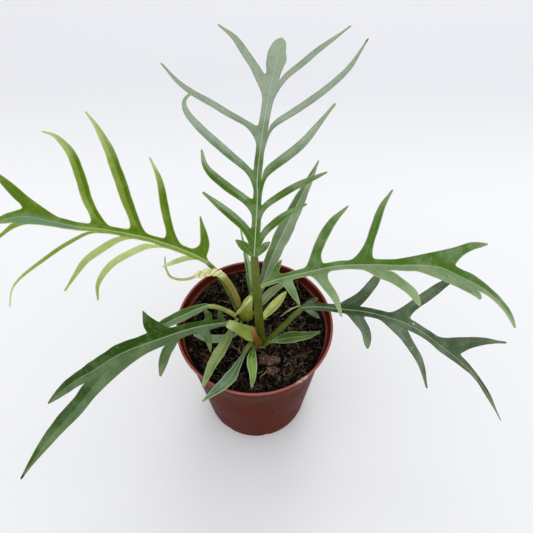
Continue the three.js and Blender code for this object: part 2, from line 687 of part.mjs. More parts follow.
const ROLLED = {
  leaf_new: {
    colour: 0xb4bf55,
    path: [[-10, 17, 114], [-14, 21, 122], [-17, 25, 130], [-20, 27, 137], [-27, 29, 144],
      [-35, 28, 147], [-42, 25, 148], [-49, 22, 147], [-57, 22, 146], [-64, 25, 146],
      [-68, 33, 147], [-69, 41, 150]],
    radius: [[0, 2], [0.1, 2.6], [0.3, 2.8], [0.36, 3.3], [0.54, 2.9], [0.58, 1.3], [0.8, 1],
      [1, 0.5]],
    wrung: [0.35, 0.56],
    steps: 44,
    clearOf: [backRoom],
  },
  bud: {
    colour: 0xd2cf7a,
    path: [[-7, 25, 113], [-2, 28, 118], [2, 30, 123], [5, 31, 127]],
    radius: [[0, 1.2], [0.6, 1.7], [0.85, 1.6], [1, 0.7]],
    steps: 8,
    clearOf: [backRoom],
  },
  spear: {
    colour: 0xb9b290,
    path: [[-1, 32, 99], [-1, 33, 112], [0, 34, 126], [2, 40, 159], [5, 46, 184]],
    radius: [[0, 1.3], [0.5, 1.3], [1, 0.5]],
    steps: 8,
  },
  twig: {
    colour: 0xb09a66,
    path: [[20, 14, 106.2], [28, 19, 109], [36, 21, 112]],
    radius: [[0, 0.8], [0.6, 0.9], [1, 0.6]],
    steps: 4,
  },
};

const WRING_TURNS = 8;
const WRING_DEPTH = 0.5;

function rolledSolid(rod) {
  const curve = curveThrough(rod.path.map(vec));
  const centres = [];
  const radii = [];
  for (let i = 0; i <= rod.steps; i += 1) {
    const u = i / rod.steps;
    let radius = along(rod.radius, u);
    if (rod.wrung && u > rod.wrung[0] && u < rod.wrung[1]) {
      const turn = (u - rod.wrung[0]) / (rod.wrung[1] - rod.wrung[0]);
      radius -= WRING_DEPTH * (0.5 + 0.5 * Math.cos(2 * Math.PI * WRING_TURNS * turn));
    }
    centres.push(curve.getPointAt(u));
    radii.push(radius);
  }
  let solid = tubeSolid(centres, radii, KEEL_SIDES);
  (rod.clearOf ?? []).forEach((other) => {
    solid = solid.subtract(other);
  });
  return largest(solid);
}

addNode('pot', potSolid(), 0x8a4033, 0.5);

const uprightRoom = stalkRoom(LEAVES.leaf_upright);
LEAVES.leaf_left_low.clearOf.push(uprightRoom);
LEAVES.leaf_left_mid.clearOf.push(stalkRoom(LEAVES.leaf_left_high));
LEAVES.small_left_long.clearOf.push(stalkRoom(LEAVES.leaf_left_mid));
LEAVES.small_left_under.clearOf.push(stalkRoom(LEAVES.small_left_long));
LEAVES.small_right.clearOf.push(stalkRoom(LEAVES.leaf_right_low));
Object.entries(LEAVES).forEach(([name, leaf]) => {
  addNode(name, leafSolid(leaf), leaf.colour, 0.5);
});
Object.entries(ROLLED).forEach(([name, rod]) => {
  addNode(name, rolledSolid(rod), rod.colour, 0.55);
});
const leftLowRoom = stalkRoom(LEAVES.leaf_left_low);
addNode('strip_dry', leafSolid({ ...STRIP, clearOf: [frontRoom, uprightRoom] }), 0xa8693c, 0.6);
addNode('sheath', leafSolid({ ...SHEATH, clearOf: [frontRoom, uprightRoom, leftLowRoom] }),
  0xa9bb62, 0.5);
addNode('stem_front', shootSolid(FRONT_SHOOT, 0), 0x8b9a52, 0.6);
addNode('stem_back', shootSolid(BACK_SHOOT, 0), 0xb0ae52, 0.55);

// Bark chips, each lying in its own print in the soil

const CHIPS = {
  bark_front: {
    outline: [[3, -29], [9, -30], [15, -29], [19, -28], [20, -24], [15, -22], [8, -22], [3, -24]],
    foot: 104.6,
    top: 108,
  },
  bark_small: {
    outline: [[10, -37], [14, -39], [17, -36], [20, -33], [17, -31.6], [11, -31], [8, -33]],
    foot: 104.4,
    top: 107.4,
  },
};

function chipSolid(chip, extra) {
  const middle = new THREE.Vector3();
  chip.outline.forEach(([x, y]) => middle.add(new THREE.Vector3(x, y, 0)));
  middle.divideScalar(chip.outline.length);
  const points = [];
  const triangles = [];
  const count = chip.outline.length;
  [chip.foot - extra, chip.top + extra].forEach((height, level) => {
    chip.outline.forEach(([x, y], i) => {
      const out = new THREE.Vector3(x, y, 0).sub(middle);
      out.setLength(out.length() + extra - (level ? 0.7 : 0));
      const rough = level && !extra ? 0.5 * Math.sin(i * 2.3) : 0;
      points.push(new THREE.Vector3(middle.x + out.x, middle.y + out.y, height + rough));
    });
  });
  const low = points.push(new THREE.Vector3(middle.x, middle.y, chip.foot - extra)) - 1;
  const high = points.push(new THREE.Vector3(middle.x, middle.y, chip.top + extra)) - 1;
  for (let i = 0; i < count; i += 1) {
    const n = (i + 1) % count;
    triangles.push([low, n, i], [high, count + i, count + n]);
    triangles.push([i, n, count + n], [i, count + n, count + i]);
  }
  return solidFrom(points, triangles);
}

Object.entries(CHIPS).forEach(([name, chip]) => {
  addNode(name, chipSolid(chip, 0), 0x5a4232, 0.9);
});

// Soil: a filled plug with an uneven crumbly top

const SOIL_RINGS = [6, 12, 18, 24, 30, 36, 41, 46, 50];
const SOIL_SECTORS = 36;

function soilHeight(x, y) {
  const slow = 0.8 * Math.sin(x / 9 + 1.3) * Math.cos(y / 11 - 0.4);
  const quick = 0.5 * Math.sin(x / 3.7 - y / 5.1) + 0.35 * Math.cos(x / 2.9 + y / 3.3);
  return SOIL_LEVEL + slow + quick;
}

function soilSolid() {
  const points = [];
  const triangles = [];
  const ring = (radius, height) => {
    const row = [];
    for (let k = 0; k < SOIL_SECTORS; k += 1) {
      const turn = (2 * Math.PI * k) / SOIL_SECTORS;
      const x = radius * Math.cos(turn);
      const y = radius * Math.sin(turn);
      row.push(points.push(new THREE.Vector3(x, y, height ?? soilHeight(x, y))) - 1);
    }
    return row;
  };
  const join = (a, b) => {
    for (let k = 0; k < SOIL_SECTORS; k += 1) {
      const n = (k + 1) % SOIL_SECTORS;
      triangles.push([a[k], a[n], b[n]], [a[k], b[n], b[k]]);
    }
  };
  const foot = POT_FLOOR + GAP;
  const bottom = points.push(new THREE.Vector3(0, 0, foot)) - 1;
  const rows = [
    ring(FOOT_RADIUS - 2.8 - GAP - 0.2, foot),
    ring(53.3, SOIL_LEVEL - 3),
    ...SOIL_RINGS.slice().reverse().map((radius) => ring(radius)),
  ];
  const top = points.push(new THREE.Vector3(0, 0, soilHeight(0, 0))) - 1;
  for (let k = 0; k < SOIL_SECTORS; k += 1) {
    const n = (k + 1) % SOIL_SECTORS;
    triangles.push([bottom, rows[0][n], rows[0][k]]);
    triangles.push([rows[rows.length - 1][k], rows[rows.length - 1][n], top]);
  }
  for (let i = 0; i < rows.length - 1; i += 1) join(rows[i], rows[i + 1]);
  return solidFrom(points, triangles);
}

// Everything that stands or lies in the soil leaves a plain hole or print in it
const rooms = [
  frontRoom,
  backRoom,
  stalkRoom(LEAVES.leaf_back_right),
  stalkRoom(LEAVES.leaf_back_left),
  stalkSolid(ROLLED.spear.path.slice(0, 3), [1.3, 1.3], GAP),
  ...Object.values(CHIPS).map((chip) => chipSolid(chip, GAP)),
];
const soil = rooms.reduce((rest, room) => rest.subtract(room), soilSolid());
addNode('soil', largest(soil), 0x2a211b, 0.95);

export default group;
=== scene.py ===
# %% [markdown]
# # A potted philodendron tortum
#
# This lesson dresses a imported CAD plant for a photograph. Every leaf, stalk and grain of
# soil is grown by code from a few points, in the frame of the imported part.
# Lengths in the tables are millimetres; meshes are in metres, as Blender wants them.

# %% Load the frame
import math

import bpy
import numpy as np
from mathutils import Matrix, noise
from mathutils.kdtree import KDTree


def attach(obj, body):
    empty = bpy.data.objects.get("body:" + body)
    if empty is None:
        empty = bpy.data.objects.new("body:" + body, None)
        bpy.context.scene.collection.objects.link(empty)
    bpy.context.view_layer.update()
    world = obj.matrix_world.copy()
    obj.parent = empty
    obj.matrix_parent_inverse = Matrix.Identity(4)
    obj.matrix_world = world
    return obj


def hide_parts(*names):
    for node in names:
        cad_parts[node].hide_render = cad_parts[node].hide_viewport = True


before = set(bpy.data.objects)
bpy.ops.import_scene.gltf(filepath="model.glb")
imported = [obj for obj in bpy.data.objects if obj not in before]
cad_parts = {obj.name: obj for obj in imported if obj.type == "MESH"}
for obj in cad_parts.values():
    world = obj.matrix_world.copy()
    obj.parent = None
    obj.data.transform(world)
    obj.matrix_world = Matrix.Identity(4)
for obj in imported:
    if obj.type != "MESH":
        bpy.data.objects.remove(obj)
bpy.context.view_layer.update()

scene = bpy.context.scene
MM = 0.001
print("CAD nodes:", len(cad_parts))

# %% [markdown]
# ## Camera
#
# The picture looks down on the pot at 53 degrees from a hand-held phone's distance. The
# place came from the ellipse of the pot's rim and the size of its foot. A real lens has a
# focal length and a sensor; 36 mm over 533 pixels turns 600 pixels of focal length into
# millimetres.


# %% Camera
def put(name, data):
    """A new object at the origin, linked into the scene."""
    thing = bpy.data.objects.new(name, data)
    scene.collection.objects.link(thing)
    return thing


PICTURE_SIDE, FOCAL_PIXELS, SENSOR_WIDTH = 533, 600, 36
CAMERA_PLACE = (0.009, -0.243, 0.5125)
LOOK_DOWN = 52.9

camera = put("camera", bpy.data.cameras.new("camera"))
camera.location = CAMERA_PLACE
camera.rotation_euler = (math.radians(90 - LOOK_DOWN), 0, 0)
camera.data.sensor_width = SENSOR_WIDTH
camera.data.lens = SENSOR_WIDTH * FOCAL_PIXELS / PICTURE_SIDE
camera.data.clip_start = 0.01
scene.camera = camera
print("lens:", round(camera.data.lens, 2), "mm")

# %% [markdown]
# ## Short names for node trees
#
# Shader and geometry trees are built from the same two moves: add a node, and feed its
# sockets with numbers or with other nodes' outputs. One small class keeps that readable.


# %% Node tree helper
class Tree:
    """Adds nodes to a tree; an input may be a plain value or another node's output."""

    def __init__(self, tree):
        self.tree = tree

    def add(self, kind, inputs=None, **settings):
        node = self.tree.nodes.new(kind)
        for key, value in settings.items():
            setattr(node, key, value)
        for key, value in (inputs or {}).items():
            self.feed(node.inputs[key], value)
        return node

    def feed(self, socket, value):
        if isinstance(value, bpy.types.NodeSocket):
            self.tree.links.new(value, socket)
        else:
            socket.default_value = value

    def math(self, operation, a, b=0.0, clamp=False):
        node = self.add("ShaderNodeMath", {0: a, 1: b}, operation=operation, use_clamp=clamp)
        return node.outputs[0]

    def times(self, a, b):
        return self.math("MULTIPLY", a, b)

    def plus(self, a, b, clamp=False):
        return self.math("ADD", a, b, clamp)

    def minus(self, a, b):
        return self.math("SUBTRACT", a, b)

    def blend(self, mask, a, b, amount=1.0):
        """Colour a where the mask is 0 and b where it is 1, or part of the way there."""
        mask = mask if amount == 1.0 else self.times(mask, amount)
        node = self.add("ShaderNodeMix", {0: mask, 6: a, 7: b}, data_type="RGBA")
        return node.outputs[2]

    def shade(self, colour, value):
        return self.add("ShaderNodeHueSaturation", {"Value": value, "Color": colour}).outputs[0]

    def step(self, value, low, high, start=0.0, end=1.0):
        """Soft step from start at low to end at high."""
        inputs = {0: value, 1: low, 2: high, 3: start, 4: end}
        node = self.add("ShaderNodeMapRange", inputs, interpolation_type="SMOOTHSTEP")
        return node.outputs[0]

    def fall(self, value, low, high):
        return self.step(value, low, high, 1.0, 0.0)

    def drift(self, cloud, amount):
        """A cloud of noise as a slow rise and fall by the amount, about 0."""
        return self.step(cloud, 0.3, 0.7, -amount, amount)

    def noise(self, place, scale, detail=2.0, roughness=0.5):
        inputs = {"Vector": place, "Scale": scale, "Detail": detail, "Roughness": roughness}
        return self.add("ShaderNodeTexNoise", inputs).outputs[0]

    def attribute(self, name):
        return self.add("ShaderNodeAttribute", attribute_name=name).outputs["Fac"]

    def place(self):
        return self.add("ShaderNodeTexCoord").outputs["Object"]

    def split(self, place):
        """x, y and z of a place, and its distance from the pot's axis."""
        x, y, z = self.add("ShaderNodeSeparateXYZ", {0: place}).outputs
        return x, y, z, self.math("SQRT", self.plus(self.times(x, x), self.times(y, y)))

    def distance(self, place, spot):
        """How far a place is from a spot given in millimetres."""
        ends = {0: place, 1: tuple(v * MM for v in spot)}
        return self.add("ShaderNodeVectorMath", ends, operation="DISTANCE").outputs["Value"]


# %% [markdown]
# ## Skins
#
# Every finish here is a shader group that gives three things which change over the
# surface: colour, roughness and height. The group is built once, and each material puts
# it in front of a Principled shader with its own values. Numbers that are the same all
# over, such as the specular level, are set on the shader itself.


# %% Skin helpers
def paint(hexcode):
    """A colour written as six hex digits, turned into the linear values Blender wants."""
    srgb = [int(hexcode[i:i + 2], 16) / 255 for i in (0, 2, 4)]
    linear = [c / 12.92 if c < 0.04045 else ((c + 0.055) / 1.055) ** 2.4 for c in srgb]
    return (*linear, 1.0)


def skin_group(name, colours, numbers=""):
    """An empty shader group whose named inputs are colours and plain numbers."""
    sockets = [("INPUT", label, "Color") for label in colours.split()]
    sockets += [("INPUT", label, "Float") for label in numbers.split()]
    sockets += [("OUTPUT", "Colour", "Color"), ("OUTPUT", "Roughness", "Float"),
                ("OUTPUT", "Height", "Float")]
    group = bpy.data.node_groups.new(name, "ShaderNodeTree")
    for direction, label, kind in sockets:
        group.interface.new_socket(label, in_out=direction, socket_type="NodeSocket" + kind)
    tree = Tree(group)
    return tree, tree.add("NodeGroupInput").outputs, tree.add("NodeGroupOutput").inputs


def close_skin(tree, result, colour, roughness, height):
    for label, value in (("Colour", colour), ("Roughness", roughness), ("Height", height)):
        tree.feed(result[label], value)
    return tree.tree


# %% Material helper
def material_from(name, group, values, bump=0.0, bump_size=MM, **constants):
    """A Principled material with a skin; values written as text are hex colours."""
    material = bpy.data.materials.new(name)
    material.use_nodes = True
    tree = Tree(material.node_tree)
    shader = material.node_tree.nodes["Principled BSDF"]
    skin = tree.add("ShaderNodeGroup", node_tree=group)
    for label, value in values.items():
        skin.inputs[label].default_value = paint(value) if isinstance(value, str) else value
    tree.feed(shader.inputs["Base Color"], skin.outputs["Colour"])
    tree.feed(shader.inputs["Roughness"], skin.outputs["Roughness"])
    for label, value in constants.items():
        shader.inputs[label.replace("_", " ")].default_value = value
    if bump:
        relief = tree.add("ShaderNodeBump", {"Strength": bump, "Distance": bump_size,
                                             "Height": skin.outputs["Height"]})
        tree.feed(shader.inputs["Normal"], relief.outputs[0])
    return material


# %% [markdown]
# ## Floor and light
#
# The plant stands on a white sheet under a wide soft light; the sheet is painted a little
# greyer towards the back, a painted falloff of the light. A bright, nearly white world gives
# the even light from all sides, and one large overhead panel adds the gentle shadow round the
# foot of the pot. The floor lies a hair below the pot, so that the two flat faces don't fight.

# %% Floor and lights
FLOOR_RADIUS, FLOOR_SIDES, FLOOR_DROP = 6.0, 64, -0.0002


def make_floor():
    angle = np.linspace(0, 2 * math.pi, FLOOR_SIDES + 1)[:-1]
    ring = [(FLOOR_RADIUS * math.cos(a), FLOOR_RADIUS * math.sin(a), FLOOR_DROP) for a in angle]
    mesh = bpy.data.meshes.new("floor")
    mesh.from_pydata(ring, [], [tuple(range(len(ring)))])
    tree, given, result = skin_group("paper", "Sheet Shade Far")
    cloud = tree.noise(tree.place(), 1.5, 3.0)
    near = tree.blend(cloud, given["Sheet"], given["Shade"])
    # painted shade: the sheet greys towards the back, where the light falls off
    back = tree.step(tree.split(tree.place())[1], 0.2, 0.5)
    colour = tree.blend(back, near, given["Far"])
    paper = close_skin(tree, result, colour, tree.step(cloud, 0.2, 0.8, 0.7, 0.8), cloud)
    colours = {"Sheet": "f7f7f9", "Shade": "f5f5f8", "Far": "e3e3e7"}
    mesh.materials.append(material_from("white sheet", paper, colours))
    put("floor", mesh)


def make_panel(name, place, target, size, watts):
    """A round soft light that looks from its place to the target."""
    light = put(name, bpy.data.lights.new(name, "AREA"))
    light.data.shape = "DISK"
    light.data.size = size
    light.data.energy = watts
    light.location = place
    away = np.array(place) - np.array(target)
    flat = math.hypot(away[0], away[1])
    light.rotation_euler = (math.atan2(flat, away[2]), 0, math.atan2(away[0], -away[1]))


def make_world(horizon, zenith):
    """A dome of even light that is brighter near the horizon than overhead."""
    world = bpy.data.worlds.new("studio")
    world.use_nodes = True
    tree = Tree(world.node_tree)
    direction = tree.add("ShaderNodeTexCoord").outputs["Generated"]
    height = tree.add("ShaderNodeSeparateXYZ", {0: direction}).outputs[2]
    dome = world.node_tree.nodes["Background"]
    dome.inputs["Color"].default_value = (0.975, 0.985, 1.0, 1)
    tree.feed(dome.inputs["Strength"], tree.step(height, 0.0, 0.9, horizon, zenith))
    scene.world = world


make_floor()
make_panel("back panel", (0.25, 1.5, 1.7), (0, 0, 0.1), 1.2, 8)
make_world(horizon=2.1, zenith=0.56)
scene.view_settings.view_transform = "Standard"

# %% [markdown]
# ## Curves through a few points
#
# Stalks, midribs and lobes all follow smooth lines through a handful of points, which is
# how a person bends a wire. A Catmull-Rom curve passes through every point; walking it by
# length keeps the mesh even where the points are not.


# %% Curve helper
CURVE_SAMPLES, GLANCE = 40, 0.004


def unit(v):
    return v / np.maximum(np.linalg.norm(v, axis=-1, keepdims=True), 1e-9)


def smooth(t):
    t = np.clip(t, 0, 1)
    return t * t * (3 - 2 * t)


class Curve:
    """A smooth line through points in millimetres; u runs from 0 to 1 by length."""

    def __init__(self, points):
        p = np.array(points, float)
        p = np.vstack([2 * p[0] - p[1], p, 2 * p[-1] - p[-2]])
        t = np.linspace(0, 1, CURVE_SAMPLES + 1)[:-1, None]
        pieces = []
        for before, a, b, after in zip(p, p[1:], p[2:], p[3:]):
            leave, arrive = (b - before) / 2, (after - a) / 2
            pieces.append(a + leave * t + (3 * (b - a) - 2 * leave - arrive) * t ** 2
                          + (2 * (a - b) + leave + arrive) * t ** 3)
        self.points = np.vstack(pieces + [p[-2][None]])
        steps = np.linalg.norm(np.diff(self.points, axis=0), axis=1)
        self.walked = np.concatenate([[0], np.cumsum(steps)])
        self.length = self.walked[-1]

    def at(self, u):
        s = np.clip(u, 0, 1) * self.length
        return np.stack([np.interp(s, self.walked, self.points[:, i]) for i in range(3)], -1)

    def ahead(self, u):
        """Direction of the line, from a glance ahead and one back."""
        u = np.asarray(u, float)
        return unit(self.at(np.minimum(u + GLANCE, 1)) - self.at(np.maximum(u - GLANCE, 0)))


def along(pairs, u):
    """Value at u of a list of (place, value) pairs."""
    places, values = zip(*pairs)
    return np.interp(u, places, values)


# %% [markdown]
# ## The leaves' own measurements
#
# Each leaf is a midrib, the way its upper face looks at base and tip, how steeply its two
# halves fold up, a half width along the midrib and a list of lobes. The CAD solids were
# made from the same values, so the fine leaves lie over them; since then a few widths and
# lobe feet were fitted closer to the picture. A lobe has a side (1 left, -1 right), its
# place along the midrib, how far its foot reaches back and forward, a half width, a taper
# (low for a long point, high for a blunt end) and the middle line from the midrib's edge
# to its tip. A fork, where a lobe leaves the midrib at a narrow angle, also has a sweep:
# how far out its back edge joins the foot in one curve, and how much that curve bows.


# %% Large lobed leaves
def lobe(side, at, root, half, taper, path, sweep=None):
    return {"side": side, "at": at, "root": root, "half": half, "taper": taper, "path": path,
            "sweep": sweep}


LEAVES = {
    "leaf_upright": {
        "stalk": [[5, -10, 103], [4.2, -10, 125], [3, -8, 156], [1.8, -4, 181]],
        "stalk_radius": [3.6, 2.7],
        "midrib": [[0.8, 3, 198], [3, 28, 226], [3, 38, 236], [6, 60, 252], [11, 90, 264],
                   [16, 118, 270], [20, 140, 273]],
        "face": [[0, -75, 66], [0, -10, 100]], "fold": 14,
        "half_width": [[0, 1.5], [0.01, 4.2], [0.04, 4.2], [0.1, 3.2], [0.25, 2.7], [0.45, 3],
                       [0.62, 3.6], [0.74, 5], [0.8, 5.2], [0.83, 6.6], [0.9, 7.6], [0.935, 6.4],
                       [0.975, 3.8], [1, 0]],
        "right_share": [[0, 1], [0.8, 1], [0.83, 0.95], [0.855, 1.08], [0.875, 0.9], [0.9, 0.72],
                        [0.95, 0.8], [1, 1]],
        "lobes": [
            lobe(1, 0.73, [11, 5], 2.9, 2, [[1, 107, 272], [-12, 128, 279], [-25, 144, 281]]),
            lobe(1, 0.5, [7, 3], 2.2, 2.4, [[-3, 66, 257], [-23, 75, 264], [-46, 88, 271],
                 [-61, 103, 278]]),
            lobe(1, 0.32, [6, 3], 2.7, 3, [[-4, 42, 241], [-22, 53, 251], [-39, 66, 261],
                 [-44, 73, 266], [-43, 78, 269], [-38, 81, 271]]),
            lobe(1, 0.21, [6, 3], 2.9, 2.6, [[-5, 28, 227], [-19, 34, 235], [-30, 42, 242],
                 [-33, 51, 250]]),
            lobe(1, 0.09, [6, 3], 2.9, 2.2, [[-6, 16, 214], [-20, 24, 223], [-33, 31, 231]]),
            lobe(1, 0.026, [4, 4.5], 3.6, 1.15, [[-5, 7, 203], [-12, 10, 208]]),
            lobe(-1, 0.7, [9, 5], 2.3, 2.2, [[21, 100, 268], [45, 121, 276], [68, 142, 281]]),
            lobe(-1, 0.47, [7, 4], 2.3, 2.6, [[14, 66, 257], [37, 78, 266], [61, 95, 277],
                 [76, 114, 289]]),
            lobe(-1, 0.285, [6, 3], 3, 2, [[10, 41, 240], [31, 51, 253], [53, 70, 271]]),
            lobe(-1, 0.185, [5, 3], 2.3, 3, [[9, 26, 224], [27, 33, 233], [49, 41, 239]]),
            lobe(-1, 0.075, [5, 3], 2.5, 2.2, [[8, 14, 211], [21, 21, 219], [36, 27, 224]]),
            lobe(-1, 0.026, [4, 4.5], 3.4, 1.15, [[6, 6, 203], [12, 9, 207]]),
        ],
    },
    "leaf_left_high": {
        "stalk": [[-13.5, 17, 107], [-17.8, 24, 116], [-24.4, 32, 127], [-31, 36, 139]],
        "stalk_radius": [2.3, 1.8],
        "midrib": [[-36, 36, 150], [-50, 40, 156], [-68, 44, 162], [-87, 47, 167], [-113, 50, 171],
                   [-132, 51, 173], [-152, 55, 174], [-173, 60, 174], [-192, 58, 172],
                   [-205, 55, 169]],
        "face": [[0, -20, 100], [0, -20, 100]], "fold": 14,
        "half_width": [[0, 2], [0.1, 3.6], [0.3, 3.4], [0.6, 3.6], [0.72, 5.5], [0.8, 7],
                       [0.9, 4.5], [1, 0]],
        "lobes": [
            lobe(-1, 0.03, [3, 9], 3.6, 1.3, [[-38, 48, 157], [-42, 66, 169]]),
            lobe(-1, 0.165, [5, 7], 3.3, 2, [[-67, 62, 171], [-73, 87, 186], [-82, 106, 192]]),
            lobe(-1, 0.315, [5, 7], 4.4, 2.2, [[-95, 67, 178], [-110, 102, 197], [-122, 124, 204],
                 [-134, 140, 209]]),
            lobe(-1, 0.475, [5, 8], 4, 2.4, [[-125, 68, 180], [-139, 101, 194], [-154, 120, 199],
                 [-169, 129, 198]]),
            lobe(-1, 0.79, [22, 6], 3.8, 1.5, [[-189, 84, 183], [-214, 106, 186]], (20, 0.8)),
            lobe(1, 0.07, [4, 3], 2.2, 1.8, [[-53, 35, 155], [-70, 29, 152]]),
            lobe(1, 0.2, [3, 5], 2.7, 3, [[-82, 38, 165], [-103, 26, 162], [-114, 13, 155],
                 [-115, 3, 145]]),
            lobe(1, 0.35, [3, 6], 3, 2, [[-104, 40, 169], [-123, 25, 165], [-138, 5, 154]]),
            lobe(1, 0.47, [4, 8], 1.7, 2, [[-127, 45, 171], [-153, 25, 167], [-174, 9, 157],
                 [-177, -5, 148]]),
            lobe(1, 0.82, [6, 6], 1.9, 1.6, [[-183, 51, 172], [-200, 36, 164]]),
        ],
    },
    "leaf_left_low": {
        "stalk": [[3, -11, 108], [-4, -6, 111], [-11, -4, 115]], "stalk_radius": [2.2, 2],
        "midrib": [[-21, -1, 122], [-45, -11, 130], [-73, -24, 133], [-96, -32, 129],
                   [-116, -39, 118], [-135, -44, 106], [-155, -54, 92]],
        "face": [[0, -25, 100], [0, -25, 100]], "fold": 12,
        "half_width": [[0, 2], [0.08, 3.6], [0.2, 4.6], [0.35, 6.4], [0.52, 7.6], [0.66, 6.9],
                       [0.8, 5.6], [0.9, 3.8], [0.96, 2.1], [1, 0]],
        "lobes": [
            lobe(-1, 0.1, [4, 3], 3, 1.3, [[-34, -1, 129], [-39, 6, 132]]),
            lobe(-1, 0.024, [2.5, 2.5], 2.4, 1.3, [[-26, 2, 125], [-27, 7, 127]]),
            lobe(-1, 0.35, [10, 5], 4, 1.2, [[-76, -14, 138], [-82, -3, 142]]),
            lobe(1, 0.13, [4, 5], 3, 1.4, [[-34, -18, 127], [-32, -28, 123]]),
            lobe(1, 0.29, [5, 6], 3.6, 2.4, [[-64, -31, 128], [-68, -45, 118]]),
            lobe(1, 0.6, [30, 10], 6.4, 1.9, [[-107, -45, 124], [-125, -67, 115], [-144, -88, 106],
                 [-159, -112, 98]], (24, 0.4)),
        ],
    },
    "leaf_right_high": {
        "stalk": [[-7, 20, 117], [-3, 23, 122], [2, 25, 128]], "stalk_radius": [2.2, 1.9],
        "midrib": [[6, 26, 134], [21, 26, 142], [41, 26, 150], [62, 27, 156], [84, 25, 160],
                   [106, 23, 162], [124, 23, 162], [138, 21, 161], [150, 15, 159], [162, 11, 155],
                   [173, 6, 150], [182, -2, 145], [187, -9, 141], [190, -16, 137]],
        "face": [[0, -20, 100], [30, -20, 100]], "fold": 14,
        "half_width": [[0, 2.2], [0.06, 3.4], [0.22, 3.6], [0.4, 4.4], [0.55, 5.4], [0.66, 6.2],
                       [0.74, 6.2], [0.82, 4.4], [0.9, 3.4], [0.96, 2.6], [1, 0]],
        "lobes": [
            lobe(1, 0.06, [5, 3], 2.6, 2.4, [[16, 32, 143], [21, 40, 148]]),
            lobe(1, 0.21, [7, 6], 4, 2.4, [[47, 39, 158], [57, 57, 167], [72, 72, 174]]),
            lobe(1, 0.385, [9, 6], 3.2, 2.6, [[85, 38, 166], [96, 66, 177], [106, 82, 181]]),
            lobe(1, 0.66, [34, 6], 3.2, 3, [[157, 36, 167], [175, 41, 165]], (15, 0.35)),
            lobe(-1, 0.1, [5, 4], 3.2, 1.4, [[27, 18, 142], [34, 3, 139]]),
            lobe(-1, 0.22, [6, 7], 3.3, 1.8, [[52, 15, 151], [60, 3, 147], [64, -8, 140]]),
            lobe(-1, 0.42, [8, 12], 3.7, 4.5, [[99, 14, 160], [113, 4, 157], [120, -5, 150]]),
            lobe(-1, 0.775, [42, 4], 2.1, 2.6, [[163, -2, 153]], (6, 0.35)),
        ],
    },
    "leaf_right_low": {
        "stalk": [[7, -11, 107], [12, -8, 110], [21, -2, 116]], "stalk_radius": [2.4, 2],
        "midrib": [[36, 11, 124], [49, 9, 128], [66, 5, 131], [83, 2, 132], [101, -2, 130],
                   [115, -6, 127], [129, -13, 123], [142, -22, 118], [153, -29, 113],
                   [164, -38, 107], [174, -50, 98], [184, -65, 86]],
        "face": [[0, -25, 100], [20, -25, 100]], "fold": 14,
        "half_width": [[0, 1.8], [0.08, 3.6], [0.2, 3.4], [0.4, 4.2], [0.5, 4.2], [0.62, 4.8],
                       [0.7, 3.6], [0.8, 2.4], [0.9, 1.5], [1, 0]],
        "lobes": [
            lobe(1, 0.034, [4, 3], 2.2, 3, [[43, 13, 128], [49, 16, 130]]),
            lobe(1, 0.19, [7, 9], 4, 2.4, [[80, 11, 138], [91, 23, 142], [100, 36, 147]]),
            lobe(1, 0.41, [8, 6], 4, 2, [[119, 6, 133], [139, 20, 136], [163, 36, 138]]),
            lobe(1, 0.64, [11, 8], 3.9, 1.1, [[151, -20, 119], [169, -16, 119], [192, -14, 114]]),
            lobe(-1, 0.034, [4, 3], 2.2, 2.2, [[44, 6, 126], [50, 0, 125]]),
            lobe(-1, 0.23, [7, 6], 3.4, 4, [[78, -3, 130], [83, -13, 127], [84, -24, 121]]),
            lobe(-1, 0.37, [7, 14], 3.4, 1.8, [[110, -14, 126], [121, -30, 119], [127, -49, 107]]),
        ],
    },
}

